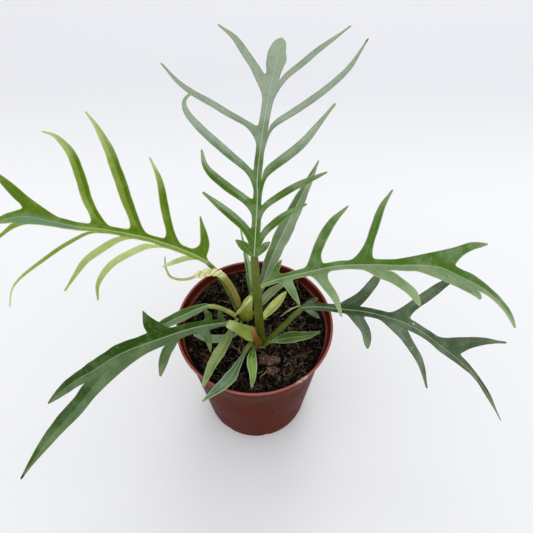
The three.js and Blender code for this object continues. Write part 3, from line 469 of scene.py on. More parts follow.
# %% Leaves without lobes
LEAVES.update({
    "leaf_left_mid": {
        "stalk": [[-15, 12, 110], [-20, 15, 111], [-27, 18, 112]], "stalk_radius": [2, 1.8],
        "midrib": [[-37, 18, 117], [-50, 8, 122], [-65, -2, 124], [-82, -10, 122]],
        "face": [[0, -20, 100], [0, -20, 100]], "fold": 10,
        "half_width": [[0, 1.8], [0.15, 3.4], [0.4, 4.8], [0.7, 4.2], [0.9, 2.2], [1, 0]],
    },
    "leaf_back_right": {
        "stalk": [[3, 31, 99], [3, 32, 105]], "stalk_radius": [1.9, 1.8],
        "midrib": [[4.5, 34, 113], [9.5, 42, 131], [17.5, 50, 153], [28, 60, 176], [37, 72, 190],
                   [48, 88, 206]],
        "face": [[10, -90, 50], [30, -60, 70]], "fold": 12,
        "half_width": [[0, 1.8], [0.2, 5.2], [0.45, 6.6], [0.65, 5.6], [0.85, 3], [1, 0]],
    },
    "leaf_back_left": {
        "stalk": [[-3, 29, 99], [-3, 29, 108]], "stalk_radius": [1.4, 1.2],
        "midrib": [[-3.8, 30, 118], [-4.8, 35, 140], [-7.4, 42, 156], [-10.4, 50, 172]],
        "face": [[10, -90, 30], [10, -80, 50]], "fold": 20,
        "half_width": [[0, 1.2], [0.3, 2.4], [0.55, 2.1], [0.8, 1.1], [1, 0]],
    },
    "small_front": {
        "stalk": [[1.5, -14, 106], [-0.3, -15.5, 110]], "stalk_radius": [1.4, 1.2],
        "midrib": [[-1.2, -18, 111], [-2, -28, 113], [-1, -41, 113], [-2, -50, 110]],
        "face": [[0, 0, 1], [0, -20, 100]], "fold": 12,
        "half_width": [[0, 1.2], [0.25, 3.4], [0.5, 3.9], [0.8, 2], [1, 0]],
    },
    "small_front_left": {
        "stalk": [[0, -13, 106.5], [-3, -15.5, 113.5], [-6, -18.8, 112.6]],
        "stalk_radius": [2.6, 1.7],
        "midrib": [[-8, -22, 111], [-12, -34, 116], [-19, -50, 121.5], [-36, -67, 124]],
        "face": [[0, 0, 1], [0, 0, 1]], "fold": 12,
        "half_width": [[0, 1.1], [0.25, 2.6], [0.5, 4.6], [0.75, 3.6], [0.92, 1.2], [1, 0]],
    },
    "small_left_long": {
        "stalk": [[-14, 10, 109], [-16, 6, 110]], "stalk_radius": [1.5, 1.4],
        "midrib": [[-18, 0, 112], [-23, -17, 115.5], [-31, -37, 119.5], [-36, -57, 125]],
        "face": [[0, 0, 1], [0, 0, 1]], "fold": 14,
        "half_width": [[0, 1.2], [0.2, 3.8], [0.45, 4.4], [0.75, 3.2], [0.93, 1.3], [1, 0]],
    },
    "small_left_under": {
        "stalk": [[-11, 9, 107.6], [-12, 3, 107.8]], "stalk_radius": [1.1, 1],
        "midrib": [[-14, -3, 108], [-22, -7, 109], [-33, -9, 110.5], [-48, -6, 112]],
        "face": [[0, 0, 1], [0, 0, 1]], "fold": 8,
        "half_width": [[0, 1], [0.3, 3.2], [0.6, 3.8], [0.85, 2.2], [1, 0]],
    },
    "small_right": {
        "stalk": [[8, -12, 107], [10.5, -11.5, 109.5]], "stalk_radius": [1.6, 1.4],
        "midrib": [[13.5, -11, 110.6], [28, -8.5, 112], [39, -8, 113.5], [51, -4, 113]],
        "face": [[0, -20, 100], [0, -20, 100]], "fold": 12,
        "half_width": [[0, 1], [0.2, 3.8], [0.42, 5], [0.66, 3.5], [0.84, 1.6], [0.95, 0.7],
                       [1, 0]],
    },
    "small_right_grey": {
        "stalk": [[-6, 13, 107], [-3, 14, 109]], "stalk_radius": [1.3, 1.2],
        "midrib": [[2, 18, 113], [6, 21, 118], [13, 26, 124], [24, 31, 129]],
        "face": [[0, -40, 90], [0, -40, 90]], "fold": 12,
        "half_width": [[0, 1.1], [0.3, 3.2], [0.6, 3.4], [0.85, 2], [1, 0]],
    },
    "small_right_yellow": {
        "stalk": [[4, -7, 108.4], [2, 0, 108.8]], "stalk_radius": [1.4, 1.2],
        "midrib": [[4, 8, 110], [11, 15, 113], [18, 22, 116], [25, 30, 119]],
        "face": [[0, -40, 90], [0, -40, 90]], "fold": 12,
        "half_width": [[0, 1.1], [0.3, 3.2], [0.6, 4], [0.85, 2.2], [1, 0]],
    },
})
for leaf in LEAVES.values():
    leaf.setdefault("lobes", [])
print(len(LEAVES), "leaves,", sum(len(leaf["lobes"]) for leaf in LEAVES.values()), "lobes")

# %% Rolled leaves, bud and twig
ROLLED = {
    "leaf_new": {
        "path": [[-12, 17, 114], [-14.2, 21, 122], [-17.8, 25, 130], [-21.4, 27, 137],
                 [-27, 29, 144], [-35, 28, 147], [-42, 25, 148], [-49, 22, 147], [-57, 22, 146],
                 [-64, 25, 146], [-68, 33, 147], [-69, 41, 150]],
        "radius": [[0, 2.1], [0.1, 2.4], [0.3, 2.4], [0.37, 2.7], [0.45, 3.0], [0.53, 3.0],
                   [0.575, 2.6], [0.592, 1.1], [0.8, 0.95], [1, 0.45]],
        "wrung": [0.36, 0.58],
    },
    "bud": {
        "path": [[-7, 25, 113], [-2, 28, 118], [2, 30, 123], [5, 31, 127]],
        "radius": [[0, 1.2], [0.6, 1.7], [0.85, 1.6], [1, 0.7]],
    },
    "spear": {
        "path": [[-1, 32, 99], [-1, 33, 112], [0, 34, 126], [2, 40, 159], [5, 46, 184]],
        "radius": [[0, 1.3], [0.5, 1.3], [1, 0.5]],
    },
    "twig": {
        "path": [[20, 14, 106.2], [28, 19, 109], [36, 21, 112]],
        "radius": [[0, 0.3], [0.5, 0.8], [1, 0.5]],
    },
}

# %% [markdown]
# ## One leaf sheet
#
# A lobed leaf is one sheet: a ribbon along the midrib, with a ribbon for each lobe whose
# first row of points is a stretch of the midrib ribbon's own edge. Sharing those points
# means there is no seam. The ribbons are shallow channels, lower at their veins, and the
# rows of a lobe turn slowly from lying along the midrib to lying across the lobe, which
# rounds the corners between lobes. Every point also keeps what the material will ask for,
# such as its distance to the nearest vein, how much painted sheen it has and how pale it is.


# %% Margins
def ragged(walked, phase):
    """Slow, uneven swelling and narrowing of a margin, as a factor near 1."""
    return 1 + 0.035 * np.sin(walked / 4.1 + phase) + 0.025 * np.sin(walked / 1.9 + 2 * phase)


def blunt(from_tip, widest, length=99):
    """Extra half width that rounds off a tip, by the distance left to it in mm."""
    size = min(0.75, 0.25 * widest, length / 45)
    share = np.clip(from_tip / (1.6 * size), 0, 1)
    return size * np.sqrt(share * (2 - share)) * (1 - smooth((from_tip - 2) / 12))


# %% Midrib
RIB_PLACES, ROUNDING = 301, 6


class Midrib:
    """Place, direction, left side and upper face of a leaf at any u from 0 to 1."""

    def __init__(self, leaf):
        self.line = Curve(leaf["midrib"])
        self.length = self.line.length
        self.faces = np.array(leaf["face"], float)
        self.fold = math.radians(leaf["fold"])
        self.places = np.linspace(0, 1, RIB_PLACES)
        rough = along(leaf["half_width"], self.places)
        window, tip = 2 * ROUNDING + 1, ROUNDING + 1
        padded = np.pad(rough, ROUNDING, mode="edge")
        self.halves = np.convolve(padded, np.ones(window) / window, "valid")
        self.halves[-tip:] = rough[-tip:]
        from_tip = (1 - self.places) * self.length
        self.halves = np.hypot(self.halves * ragged(self.places * self.length, 0.0),
                               blunt(from_tip, self.halves.max()))
        self.ratio = along(leaf.get("right_share", [(0, 1), (1, 1)]), self.places)

    def half(self, u):
        return np.interp(u, self.places, self.halves)

    def frame(self, u):
        u = np.asarray(u, float)
        place, forward = self.line.at(u), self.line.ahead(u)
        face = self.faces[0] + (self.faces[1] - self.faces[0]) * u[..., None]
        face = unit(face - forward * (face * forward).sum(-1, keepdims=True))
        return place, forward, np.cross(face, forward), face

    def across(self, u, s):
        """Point at s from -1, the right edge, to 1, the left edge, over the channel."""
        place, _, left, face = self.frame(u)
        side = np.asarray(s, float)[..., None]
        share = np.interp(u, self.places, self.ratio)[..., None]
        half = self.half(u)[..., None] * np.where(side < 0, share, 1)
        lift = np.abs(s)[..., None] ** 1.4
        return (place + left * side * half * math.cos(self.fold)
                + face * lift * half * math.sin(self.fold))


# %% Sheet of points
class Sheet:
    """Points, faces and per-point values of one leaf blade before it has a thickness."""

    VALUES = ("along", "across", "branch", "branch_on", "vein", "sheen", "pale", "burn",
              "frost")

    def __init__(self):
        self.points, self.ups, self.count, self.faces = [], [], 0, []
        self.values = {name: [] for name in self.VALUES}

    def add(self, points, ups, **values):
        """Adds points of any grid shape and returns their numbers in that shape."""
        shape = points.shape[:-1]
        size = int(np.prod(shape))
        self.points.append(points.reshape(-1, 3))
        self.ups.append(np.broadcast_to(ups, points.shape).reshape(-1, 3))
        for name in self.VALUES:
            value = np.broadcast_to(np.asarray(values.get(name, 0.0), float), shape)
            self.values[name].append(value.reshape(-1))
        numbers = np.arange(self.count, self.count + size).reshape(shape)
        self.count += size
        return numbers

    def grid(self, numbers):
        a, b = numbers[:-1, :-1], numbers[1:, :-1]
        c, d = numbers[1:, 1:], numbers[:-1, 1:]
        self.faces += np.stack([a, b, c, d], -1).reshape(-1, 4).tolist()

    def fan(self, row, tip):
        self.faces += [[int(row[i]), int(tip), int(row[i + 1])] for i in range(len(row) - 1)]

    def close(self):
        """Joins the lists and turns every face to the leaf's upper side."""
        self.points = np.vstack(self.points)
        self.ups = np.vstack(self.ups)
        self.values = {name: np.concatenate(v) for name, v in self.values.items()}
        for n, face in enumerate(self.faces):
            a, b, c = (self.points[face[0]], self.points[face[1]], self.points[face[2]])
            if np.dot(np.cross(b - a, c - a), self.ups[face[0]]) < 0:
                self.faces[n] = face[::-1]


# %% Growing a sheet
RIBBON_COLUMNS = 7
FIRST_ROOT, LAST_ROOT = 0.004, 0.985
TIP_STOPS = (0.4, 0.9, 1.5, 2.2)        # mm from the tip
SHORTEST_GAP = 0.35


def walk_stations(marks, length, step):
    """Places along a line that include every mark and are at most step apart."""
    stations = [0.0]
    for mark in sorted(marks) + [1.0]:
        gap = (mark - stations[-1]) * length
        if gap > SHORTEST_GAP:
            count = max(1, math.ceil(gap / step))
            stations += list(np.linspace(stations[-1], mark, count + 1)[1:])
    stations[-1] = 1.0
    return np.array(stations)


def grow_sheet(leaf, look, step):
    """The whole blade as one sheet, and the midrib that it was grown from."""
    rib = Midrib(leaf)
    lobes = []
    for entry in leaf["lobes"]:
        back, fore = entry["root"]
        lobes.append({**entry, "from": max(entry["at"] - back / rib.length, FIRST_ROOT),
                      "to": min(entry["at"] + fore / rib.length, LAST_ROOT)})
    marks = [lobe[key] for lobe in lobes for key in ("from", "at", "to")]
    marks += [1 - left / rib.length for left in TIP_STOPS]
    stations = walk_stations(marks, rib.length, step)
    sheet = Sheet()
    numbers = lay_rib(sheet, rib, lobes, look, stations[:-1])
    for number, lobe in enumerate(lobes):
        lay_lobe(sheet, rib, lobe, number, look, stations, numbers, step)
    sheet.close()
    return sheet, rib


# %% Ribbon along the midrib
NO_VEIN, BRANCH_REACH = 99.0, 5


def lay_rib(sheet, rib, lobes, look, stations):
    """The middle ribbon; the lobes' veins run on into it, slanting back to the midrib."""
    s = np.linspace(-1, 1, 2 * RIBBON_COLUMNS + 1)[None]
    u = stations[:, None] + 0 * s
    s = s + 0 * u
    side = np.sign(s)
    wave = look.get("wave", 0.35) * np.sin(u * rib.length / 6.5 + 1.7 * side) * s ** 2
    face = rib.frame(u)[3]
    points = rib.across(u, s) + face * wave[..., None]
    branch, branch_on = np.full(u.shape, NO_VEIN), np.zeros(u.shape)
    for lobe in lobes:
        shift = 1.3 * float(rib.half(lobe["at"]))
        offset = (u - lobe["at"]) * rib.length + shift * (1 - np.abs(s))
        near = (side == lobe["side"]) & (np.abs(offset) < BRANCH_REACH)
        branch[near] = offset[near]
        branch_on[near] = smooth((BRANCH_REACH - np.abs(offset[near])) / 3)
    # painted sheen: one half greyer where light glances off the fold, and less of it near the
    # stalk
    sheen = painted_sheen_of_rib(look, s, points[..., 2])
    sheen = sheen * (1 - look.get("dark_foot", 0) * smooth(1 - u / 0.55))
    rib_pale = look.get("rib_pale", look.get("tip_pale", 0))
    # a painted bluish sheen of reflected light along one stretch of the midrib
    blue_sheen_from, blue_sheen_to = look.get("frost", (2.0, 3.0))
    frost = 0.85 * smooth((u - blue_sheen_from) / 0.12) * (1 - smooth((u - blue_sheen_to) / 0.08))
    vein = look["vein"] * (1 - u) ** 0.6 * (1 - 0.5 * frost) + 0.1
    numbers = sheet.add(points, face, along=u * rib.length, across=np.abs(s) * rib.half(u),
                        branch=branch, branch_on=branch_on, sheen=sheen,
                        frost=frost * smooth(s * 1.2 + 0.9), vein=vein,
                        pale=look.get("pale", 0) + rib_pale * smooth((u - 0.8) / 0.2))
    tip_place, _, _, tip_face = rib.frame(1.0)
    tip = sheet.add(tip_place[None], tip_face, along=rib.length, across=0.0, branch=NO_VEIN,
                    sheen=look["sheen"][0], pale=look.get("pale", 0) + rib_pale)[0]
    sheet.grid(numbers)
    sheet.fan(numbers[-1], tip)
    return numbers


# %% Widths of a lobe
FULLEST, NECK = 0.35, 0.86


def lobe_half(lobe, t):
    """Half width of a lobe: full for its first third, then narrowing to the tip."""
    neck = NECK + (1 - NECK) * smooth(t / FULLEST)
    outer = np.clip((t - FULLEST) / (1 - FULLEST), 0, 1)
    return lobe["half"] * neck * (1 - outer ** lobe["taper"])


def lobe_widths(lobe, number, length, t, back, fore):
    """Half widths of a lobe's body, and its reach to the back and front with a wide foot."""
    walked = t * length
    body = np.hypot(lobe_half(lobe, t), blunt(length - walked, lobe["half"], length))
    fade = np.clip(1 - walked / (1.1 * (back + fore)), 0, 1) ** 2
    backs = body * ragged(walked, 2.0 + number) + np.maximum(back - body, 0) * fade
    fores = body * ragged(walked, 5.0 + number) + np.maximum(fore - body, 0) * fade
    return body, backs, fores


def swept_back(sweep, back, rear, root_line, middle, forward, reach, walked):
    """Makes the back edge one curve from the rear end of the root out along the lobe."""
    length, bow = sweep
    joined = min(int(np.searchsorted(walked, length)), len(walked) - 2)
    end = middle[joined] + reach[joined]
    sides = np.column_stack([root_line, forward[joined]])
    run, fall = np.linalg.lstsq(sides, end - rear, rcond=None)[0]
    run, fall = max(run, back * 0.3), max(fall, 2.0)
    bend = (rear + root_line * run + end - forward[joined] * fall) / 2
    bend = (rear + end) / 2 + (bend - (rear + end) / 2) * bow
    s = np.clip(walked / walked[joined], 0, 1)[:, None]
    swung = (1 - s) ** 2 * rear + 2 * s * (1 - s) * bend + s ** 2 * end
    reach[:joined] = (swung - middle)[:joined]
    return reach


# %% Ribbon of a lobe
def lay_lobe(sheet, rib, lobe, number, look, stations, numbers, step):
    """A ribbon whose first row of points is a stretch of the midrib ribbon's edge."""
    first = int(np.argmin(np.abs(stations - lobe["from"])))
    last = max(int(np.argmin(np.abs(stations - lobe["to"]))), first + 2)
    side = float(lobe["side"])
    root = numbers[first:last + 1, -1 if side > 0 else 0]
    w = (stations[first:last + 1] - lobe["at"]) * rib.length
    back, fore = -w[0], w[-1]
    c = np.where(w < 0, w / back, w / fore)
    edge = rib.across(stations[first:last + 1], np.full(len(w), side))
    start = rib.across(np.array(lobe["at"]), np.array(side))

    # the middle line, and across it a direction that turns from the midrib's to its own
    line = Curve(np.vstack([start[None], lobe["path"]]))
    rows = max(6, math.ceil(line.length / step))
    t = 1 - (1 - np.arange(1, rows) / rows) ** 1.3
    walked, middle, forward = t * line.length, line.at(t), line.ahead(t)
    face = rib.frame(lobe["at"])[3]
    up = unit(face - forward * (forward @ face)[:, None])
    cross = np.cross(forward, up) * side
    root_line = unit(edge[-1] - edge[0])
    turned = unit(root_line + (cross - root_line) * smooth(t / 0.3)[:, None])

    # widths, held in where the foot would otherwise fold back over the midrib
    body, backs, fores = lobe_widths(lobe, number, line.length, t, back, fore)
    outward = np.cross(root_line, face) * -side
    risen = np.maximum((middle - start) @ outward, 0)
    for widths, sign in ((backs, -1), (fores, 1)):
        lean = np.maximum(-sign * (turned @ outward), 0.02)
        np.minimum(widths, 0.85 * risen / lean + 0.3, out=widths)
    reach = -turned * backs[:, None]
    if lobe["sweep"]:
        reach = swept_back(lobe["sweep"], back, start - root_line * back, root_line, middle,
                           forward, -cross * body[:, None], walked)
        backs = np.linalg.norm(reach, axis=1)
    offset = np.where(c < 0, c * backs[:, None], c * fores[:, None])
    spread = np.where(c[None, :, None] < 0, reach[:, None] * -c[None, :, None],
                      turned[:, None] * offset[..., None])

    # a shallow, slightly rippled channel that settles onto the midrib's edge at its foot
    rise = body * math.sin(rib.fold) * smooth(t / 0.25)
    ripple = look.get("wave", 0.35) * np.sin(walked / 5.5 + number) * smooth(t / 0.3)
    lift = rise[:, None] * (np.abs(c) ** 1.3 - 0.5) + ripple[:, None] * c ** 2
    left_over = edge - (start + root_line * w[:, None])
    settle = 1 - smooth(walked / 9)
    points = (middle[:, None] + spread + up[:, None] * lift[..., None]
              + left_over * settle[:, None, None])
    store_lobe(sheet, lobe, number, look, root, line, t, c, offset, points, up)


def store_lobe(sheet, lobe, number, look, root, line, t, c, offset, points, up):
    """Adds a lobe's points to the sheet, with what the material reads, and joins them."""
    walked = t * line.length
    tint = look.get("lobes", {}).get(number, {})
    pale = tint.get("pale", look.get("pale", 0))
    tip_pale = tint.get("tip_pale", look.get("tip_pale", 0))
    burn = tint.get("burn", 0.0)
    # painted sheen on each half of the lobe, by how its fold meets the light
    sheen = painted_sheen_of_lobe(look, tint, lobe["side"], c, points[..., 2], smooth(walked / 9))
    grown = sheet.add(
        points, up[:, None], along=walked[:, None], across=NO_VEIN, branch=offset,
        branch_on=(1 - smooth((t - 0.75) / 0.25))[:, None], sheen=sheen,
        vein=(0.5 * (1 - t) ** 0.6)[:, None],
        burn=burn * smooth((walked - line.length + 5) / 3)[:, None],
        pale=(pale + tip_pale * smooth((t - 0.45) / 0.55))[:, None])
    tip = sheet.add(line.at(1.0)[None], up[-1], along=line.length, across=NO_VEIN,
                    sheen=sheen[-1].mean(), burn=burn, pale=pale + tip_pale)[0]
    grid = np.vstack([root[None], grown])
    sheet.grid(grid)
    sheet.fan(grid[-1], tip)


# %% Painted sheen over the sheet
def with_sheen_rise(look, value, height):
    """Adds the painted sheen that grows between two heights, and keeps the whole from 0 to 1."""
    low, high, amount = look.get("rise", (0, 1, 0))
    return np.clip(value + amount * smooth((height - low) / (high - low)), 0, 1)


def painted_sheen_of_rib(look, s, height):
    right, left = look["sheen"]
    return with_sheen_rise(look, right + (left - right) * smooth(s * 2 + 0.5), height)


def painted_sheen_of_lobe(look, tint, side, c, height, grown):
    right, left = look["sheen"]
    back, fore = tint.get("halves", look.get("halves", (0, 0)))
    value = (back + (fore - back) * smooth(c * 2 + 0.5)) * grown[:, None]
    return with_sheen_rise(look, (left if side > 0 else right) + value, height)


# %% [markdown]
# ## From sheet to blade
#
# The sheet is relaxed a little, so that the corners between lobes are round, and then
# given a thickness of about half a millimetre that thins towards the margin. The upper
# side sinks into a fine groove over each vein. Distances to the margin are measured
# on the relaxed sheet and kept as a value on the mesh, because the material draws the
# pale rim of the leaf from them.

# %% Rounding the corners
def border_of(faces):
    """Edges with a face on one side only, as the faces run."""
    seen = {}
    for face in faces:
        for i, a in enumerate(face):
            b = face[(i + 1) % len(face)]
            if (b, a) in seen:
                del seen[(b, a)]
            else:
                seen[(a, b)] = True
    return np.array(list(seen), int)


def relax(points, faces, border, rounds):
    """Moves each point towards the middle of its neighbours; border points stay on it."""
    pairs = set()
    for face in faces:
        for i, a in enumerate(face):
            b = face[(i + 1) % len(face)]
            pairs.add((min(a, b), max(a, b)))
    pairs = np.array(list(pairs), int)
    rim = np.zeros(len(points), bool)
    rim[border.ravel()] = True
    inner = pairs[~(rim[pairs[:, 0]] & rim[pairs[:, 1]])]
    for _ in range(rounds):
        total, count = np.zeros_like(points), np.zeros(len(points))
        for a, b in ((inner[:, 0], inner[:, 1]), (inner[:, 1], inner[:, 0])):
            keep = ~rim[a]
            np.add.at(total, a[keep], points[b[keep]])
            np.add.at(count, a[keep], 1)
        for a, b in ((border[:, 0], border[:, 1]), (border[:, 1], border[:, 0])):
            np.add.at(total, a, points[b])
            np.add.at(count, a, 1)
        middle = total / np.maximum(count, 1)[:, None]
        points = points + 0.5 * (middle - points)
    return points


# %% Blade
BLADE_HALF, GROOVE, RELAX_ROUNDS = 0.3, 0.16, 5


def blade(sheet):
    """Upper and under side of a sheet, joined round the margin."""
    faces, ups = sheet.faces, sheet.ups
    border = border_of(faces)
    points = relax(sheet.points, faces, border, RELAX_ROUNDS)
    tree = KDTree(len(border))
    for n, number in enumerate(border[:, 0]):
        tree.insert(points[number], n)
    tree.balance()
    rim = np.array([tree.find(p)[2] for p in points])
    rim[border.ravel()] = 0
    normals = np.zeros_like(points)
    for face in faces:
        a, b, c = points[face[0]], points[face[1]], points[face[2]]
        normals[face] += np.cross(b - a, c - a)
    normals = unit(normals + 1e-6 * ups)
    values = dict(sheet.values, rim=rim)
    line = np.exp(-(values["across"] / 0.7) ** 2)
    line = np.maximum(line, values["branch_on"] * np.exp(-(values["branch"] / 0.5) ** 2) * 0.6)
    thick = BLADE_HALF * (0.45 + 0.55 * smooth(rim))
    top = points + normals * (thick - GROOVE * line)[:, None]
    under = points - normals * thick[:, None]
    count = len(points)
    shell = list(faces) + [[i + count for i in reversed(face)] for face in faces]
    shell += [[int(b), int(a), int(a) + count, int(b) + count] for a, b in border]
    values = {name: np.concatenate([v, v]) for name, v in values.items()}
    values["under"] = np.concatenate([np.zeros(count), np.ones(count)])
    return np.vstack([top, under]), shell, values


# %% [markdown]
# ## Tubes
#
# Stalks and rolled leaves are tubes of changing radius. The frame that turns the ring
# of points is carried from one ring to the next, so that the tube never twists by
# accident. A second function may shape each ring, for a wrung or channelled stalk.


# %% Tube
def band_faces(bands, sides):
    """The faces between rings of points that follow one another."""
    faces = []
    for i in range(bands):
        a, b = i * sides, (i + 1) * sides
        for k in range(sides):
            n = (k + 1) % sides
            faces.append([a + k, a + n, b + n, b + k])
    return faces


def tube(line, radii, sides=20, shape=None, step=1.2, dome=True, side=(0.3, 1.0, 0.2)):
    """Points, faces and values of a closed tube; radii are (u, radius) pairs."""
    rings = max(8, math.ceil(line.length / step))
    u = np.linspace(0, 1, rings + 1)
    centres, forward = line.at(u), line.ahead(u)
    radius = along(radii, u)
    if dome:
        ends = np.minimum(u, 1 - u) * line.length
        radius = radius * np.sqrt(np.clip(ends / (0.9 * radius), 0.05, 1))
    turn = np.arange(sides) * 2 * math.pi / sides
    across = np.array(side)
    rows = []
    for i in range(rings + 1):
        across = unit(across - forward[i] * (across @ forward[i]))
        up = np.cross(forward[i], across)
        r = radius[i] * (shape(u[i], turn) if shape else np.ones(sides))
        rows.append(centres[i] + r[:, None] * (np.cos(turn)[:, None] * across
                                               + np.sin(turn)[:, None] * up))
    points = np.vstack(rows + [centres[:1], centres[-1:]])
    faces = band_faces(rings, sides)
    first, last, end = len(points) - 2, len(points) - 1, rings * sides
    for k in range(sides):
        n = (k + 1) % sides
        faces += [[first, n, k], [last, end + k, end + n]]
    values = {"around": np.append(np.tile(turn / (2 * math.pi), rings + 1), [0, 0]),
              "along": np.append(np.repeat(u * line.length, sides), [0, line.length]),
              "share": np.append(np.repeat(u, sides), [0, 1])}
    return points, faces, values


# %% Stalk
KEEL_END = 0.8


def stalk_tube(leaf, rib):
    """The stalk, running on under the blade as its thick midrib."""
    root, neck = leaf["stalk_radius"]
    stalk = Curve(np.vstack([leaf["stalk"], rib.line.at(0.0)[None]]))
    lower = np.linspace(0, 1, 24)[:-1]
    u = np.linspace(0, 1, max(12, int(rib.length * KEEL_END / 4))) * KEEL_END
    place, _, _, face = rib.frame(u)
    radius = neck * (1 - u / KEEL_END) ** 0.8 * 0.85 + 0.25
    keel = place - face * np.maximum(radius - 0.15, 0)[:, None]
    tuck = (neck * 0.85 + 0.1) * smooth((lower - 0.75) / 0.25)
    centres = np.vstack([stalk.at(lower) - face[0] * tuck[:, None], keel])
    walked = np.concatenate([[0], np.cumsum(np.linalg.norm(np.diff(centres, axis=0), axis=1))])
    radii = np.concatenate([root + (neck - root) * lower, radius])
    line = Curve(centres)
    pairs = list(zip(walked / walked[-1], radii))
    points, faces, values = tube(line, pairs, sides=16, dome=False, step=1.5)
    values["share"] = np.clip(values["along"] / stalk.length, 0, 1)
    return points, faces, values


# %% [markdown]
# ## Making an object of it
#
# A piece of the plant may be several closed shells in one mesh: blade and stalk, say.
# Every shell brings its own values, which become attributes of the mesh for the
# materials to read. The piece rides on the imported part's one body and replaces the
# faceted solid of the same name.


# %% Piece
def place_piece(name, mesh, node=None):
    piece = put(name, mesh)
    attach(piece, "root")
    if node:
        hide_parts(node)
    mesh.calc_loop_triangles()
    print(f"{name}: {len(mesh.loop_triangles)} triangles")


def make_piece(name, shells, materials, node=None, sharp=50):
    """shells is a list of (points in mm, faces, values, material number)."""
    points, faces, kinds, start = [], [], [], 0
    names = sorted({key for shell in shells for key in shell[2]})
    values = {key: [] for key in names}
    for shell_points, shell_faces, shell_values, kind in shells:
        points.append(shell_points * MM)
        faces += [[i + start for i in face] for face in shell_faces]
        kinds += [kind] * len(shell_faces)
        for key in names:
            values[key].append(shell_values.get(key, np.zeros(len(shell_points))))
        start += len(shell_points)
    mesh = bpy.data.meshes.new(name)
    mesh.from_pydata(np.vstack(points).tolist(), [], faces)
    mesh.polygons.foreach_set("material_index", kinds)
    mesh.polygons.foreach_set("use_smooth", [True] * len(faces))
    for key in names:
        attribute = mesh.attributes.new(key, "FLOAT", "POINT")
        attribute.data.foreach_set("value", np.concatenate(values[key]).astype(np.float32))
    if sharp:
        mesh.set_sharp_from_angle(angle=math.radians(sharp))
    for material in materials:
        mesh.materials.append(material)
    mesh.validate()
    place_piece(name, mesh, node)


# %% [markdown]
# ## The skin of a leaf
#
# All blades share one shader group. A blade is a deep, saturated green where it is
# thick and seen square on, and a greyish sage where a painted sheen stands for light off
# its waxy face; young tips are pale, and a young leaf may have a stretch of painted bluish sheen.
# Veins, their fine side veins, the rim and the dusty specks are drawn from the distances
# kept on the mesh, so they stay sharp at any distance and look the same from any side.


# %% Leaf skin group
def build_leaf_skin():
    tree, given, result = skin_group("leaf skin", "Deep Sage Pale Vein Under Edge",
                                     "Margin Specks Gloss")
    place = tree.place()
    cloud, grain = tree.noise(place, 70, 3.0, 0.55), tree.noise(place, 900, 2.0, 0.6)
    across = tree.math("ABSOLUTE", tree.attribute("across"))
    beside = tree.math("ABSOLUTE", tree.attribute("branch"))

    # painted sheen, deep green, pale tips and painted bluish sheen
    painted_sheen = tree.plus(tree.attribute("sheen"), tree.drift(cloud, 0.22), clamp=True)
    colour = tree.blend(painted_sheen, given["Deep"], given["Sage"])
    young = tree.plus(tree.attribute("pale"), tree.drift(cloud, 0.08), clamp=True)
    colour = tree.blend(young, colour, given["Pale"])
    # painted bluish sheen of reflected light on one stretch of a midrib
    colour = tree.blend(tree.attribute("frost"), colour, paint("6a8869"))
    colour = tree.shade(colour, tree.step(grain, 0.35, 0.65, 0.9, 1.1))

    # side veins slant away from the middle vein
    lateral = tree.math("MINIMUM", across, beside)
    slant = tree.times(tree.minus(tree.attribute("along"), tree.times(lateral, 1.25)), 2.1)
    waves = tree.math("SINE", tree.plus(slant, tree.times(cloud, 5.0)))
    side_veins = tree.step(waves, 0.72, 1.0)
    colour = tree.blend(side_veins, colour, given["Vein"], 0.05)

    # the middle veins of leaf and lobes
    width = tree.attribute("vein")
    main = tree.fall(across, tree.times(width, 0.25), width)
    slim = tree.times(width, 0.7)
    minor = tree.times(tree.fall(beside, tree.times(slim, 0.2), slim), tree.attribute("branch_on"))
    veins = tree.math("MAXIMUM", main, tree.times(minor, 0.25))
    colour = tree.blend(veins, colour, given["Vein"], 0.75)

    # pale rim, brown burnt tips, dusty specks, duller underside
    rim = tree.times(tree.fall(tree.attribute("rim"), 0.1, 0.7), given["Margin"])
    colour = tree.blend(rim, colour, given["Edge"])
    colour = tree.blend(tree.attribute("burn"), colour, paint("3a1c14"))
    dots = tree.step(tree.noise(place, 380, 4.0, 0.7), 0.62, 0.70)
    patches = tree.step(tree.noise(place, 45), 0.42, 0.58)
    dust = tree.times(tree.times(dots, patches), given["Specks"])
    colour = tree.blend(dust, colour, paint("c9d0c2"))
    under = tree.attribute("under")
    colour = tree.blend(under, colour, given["Under"], 0.85)
    rough = tree.plus(given["Gloss"], tree.drift(cloud, 0.06))
    rough = tree.plus(rough, tree.times(dust, 0.3))
    rough = tree.plus(rough, tree.times(under, 0.15), clamp=True)
    height = tree.minus(tree.times(grain, 0.25), tree.times(veins, 0.8))
    height = tree.minus(height, tree.times(side_veins, 0.35))
    height = tree.plus(height, tree.times(cloud, 1.2))
    return close_skin(tree, result, colour, rough, height)


# %% Leaf material
leaf_skin = build_leaf_skin()


def leaf_material(name, look):
    values = dict(zip(("Deep", "Sage", "Pale", "Vein", "Under"), look["colours"]))
    values.update(Edge=look.get("edge", values["Pale"]), Margin=look.get("margin", 0.6),
                  Specks=look["specks"], Gloss=0.42)
    return material_from(name, leaf_skin, values, bump=0.5, bump_size=0.25 * MM,
                         Specular_IOR_Level=0.12)


# %% [markdown]
# ## The skin of a stalk
#
# Stalks are smooth, faintly streaked along their length and dotted with pale specks.
# Streaks come from the angle round the tube, kept on the mesh as "around"; a sine of it
# has no seam.


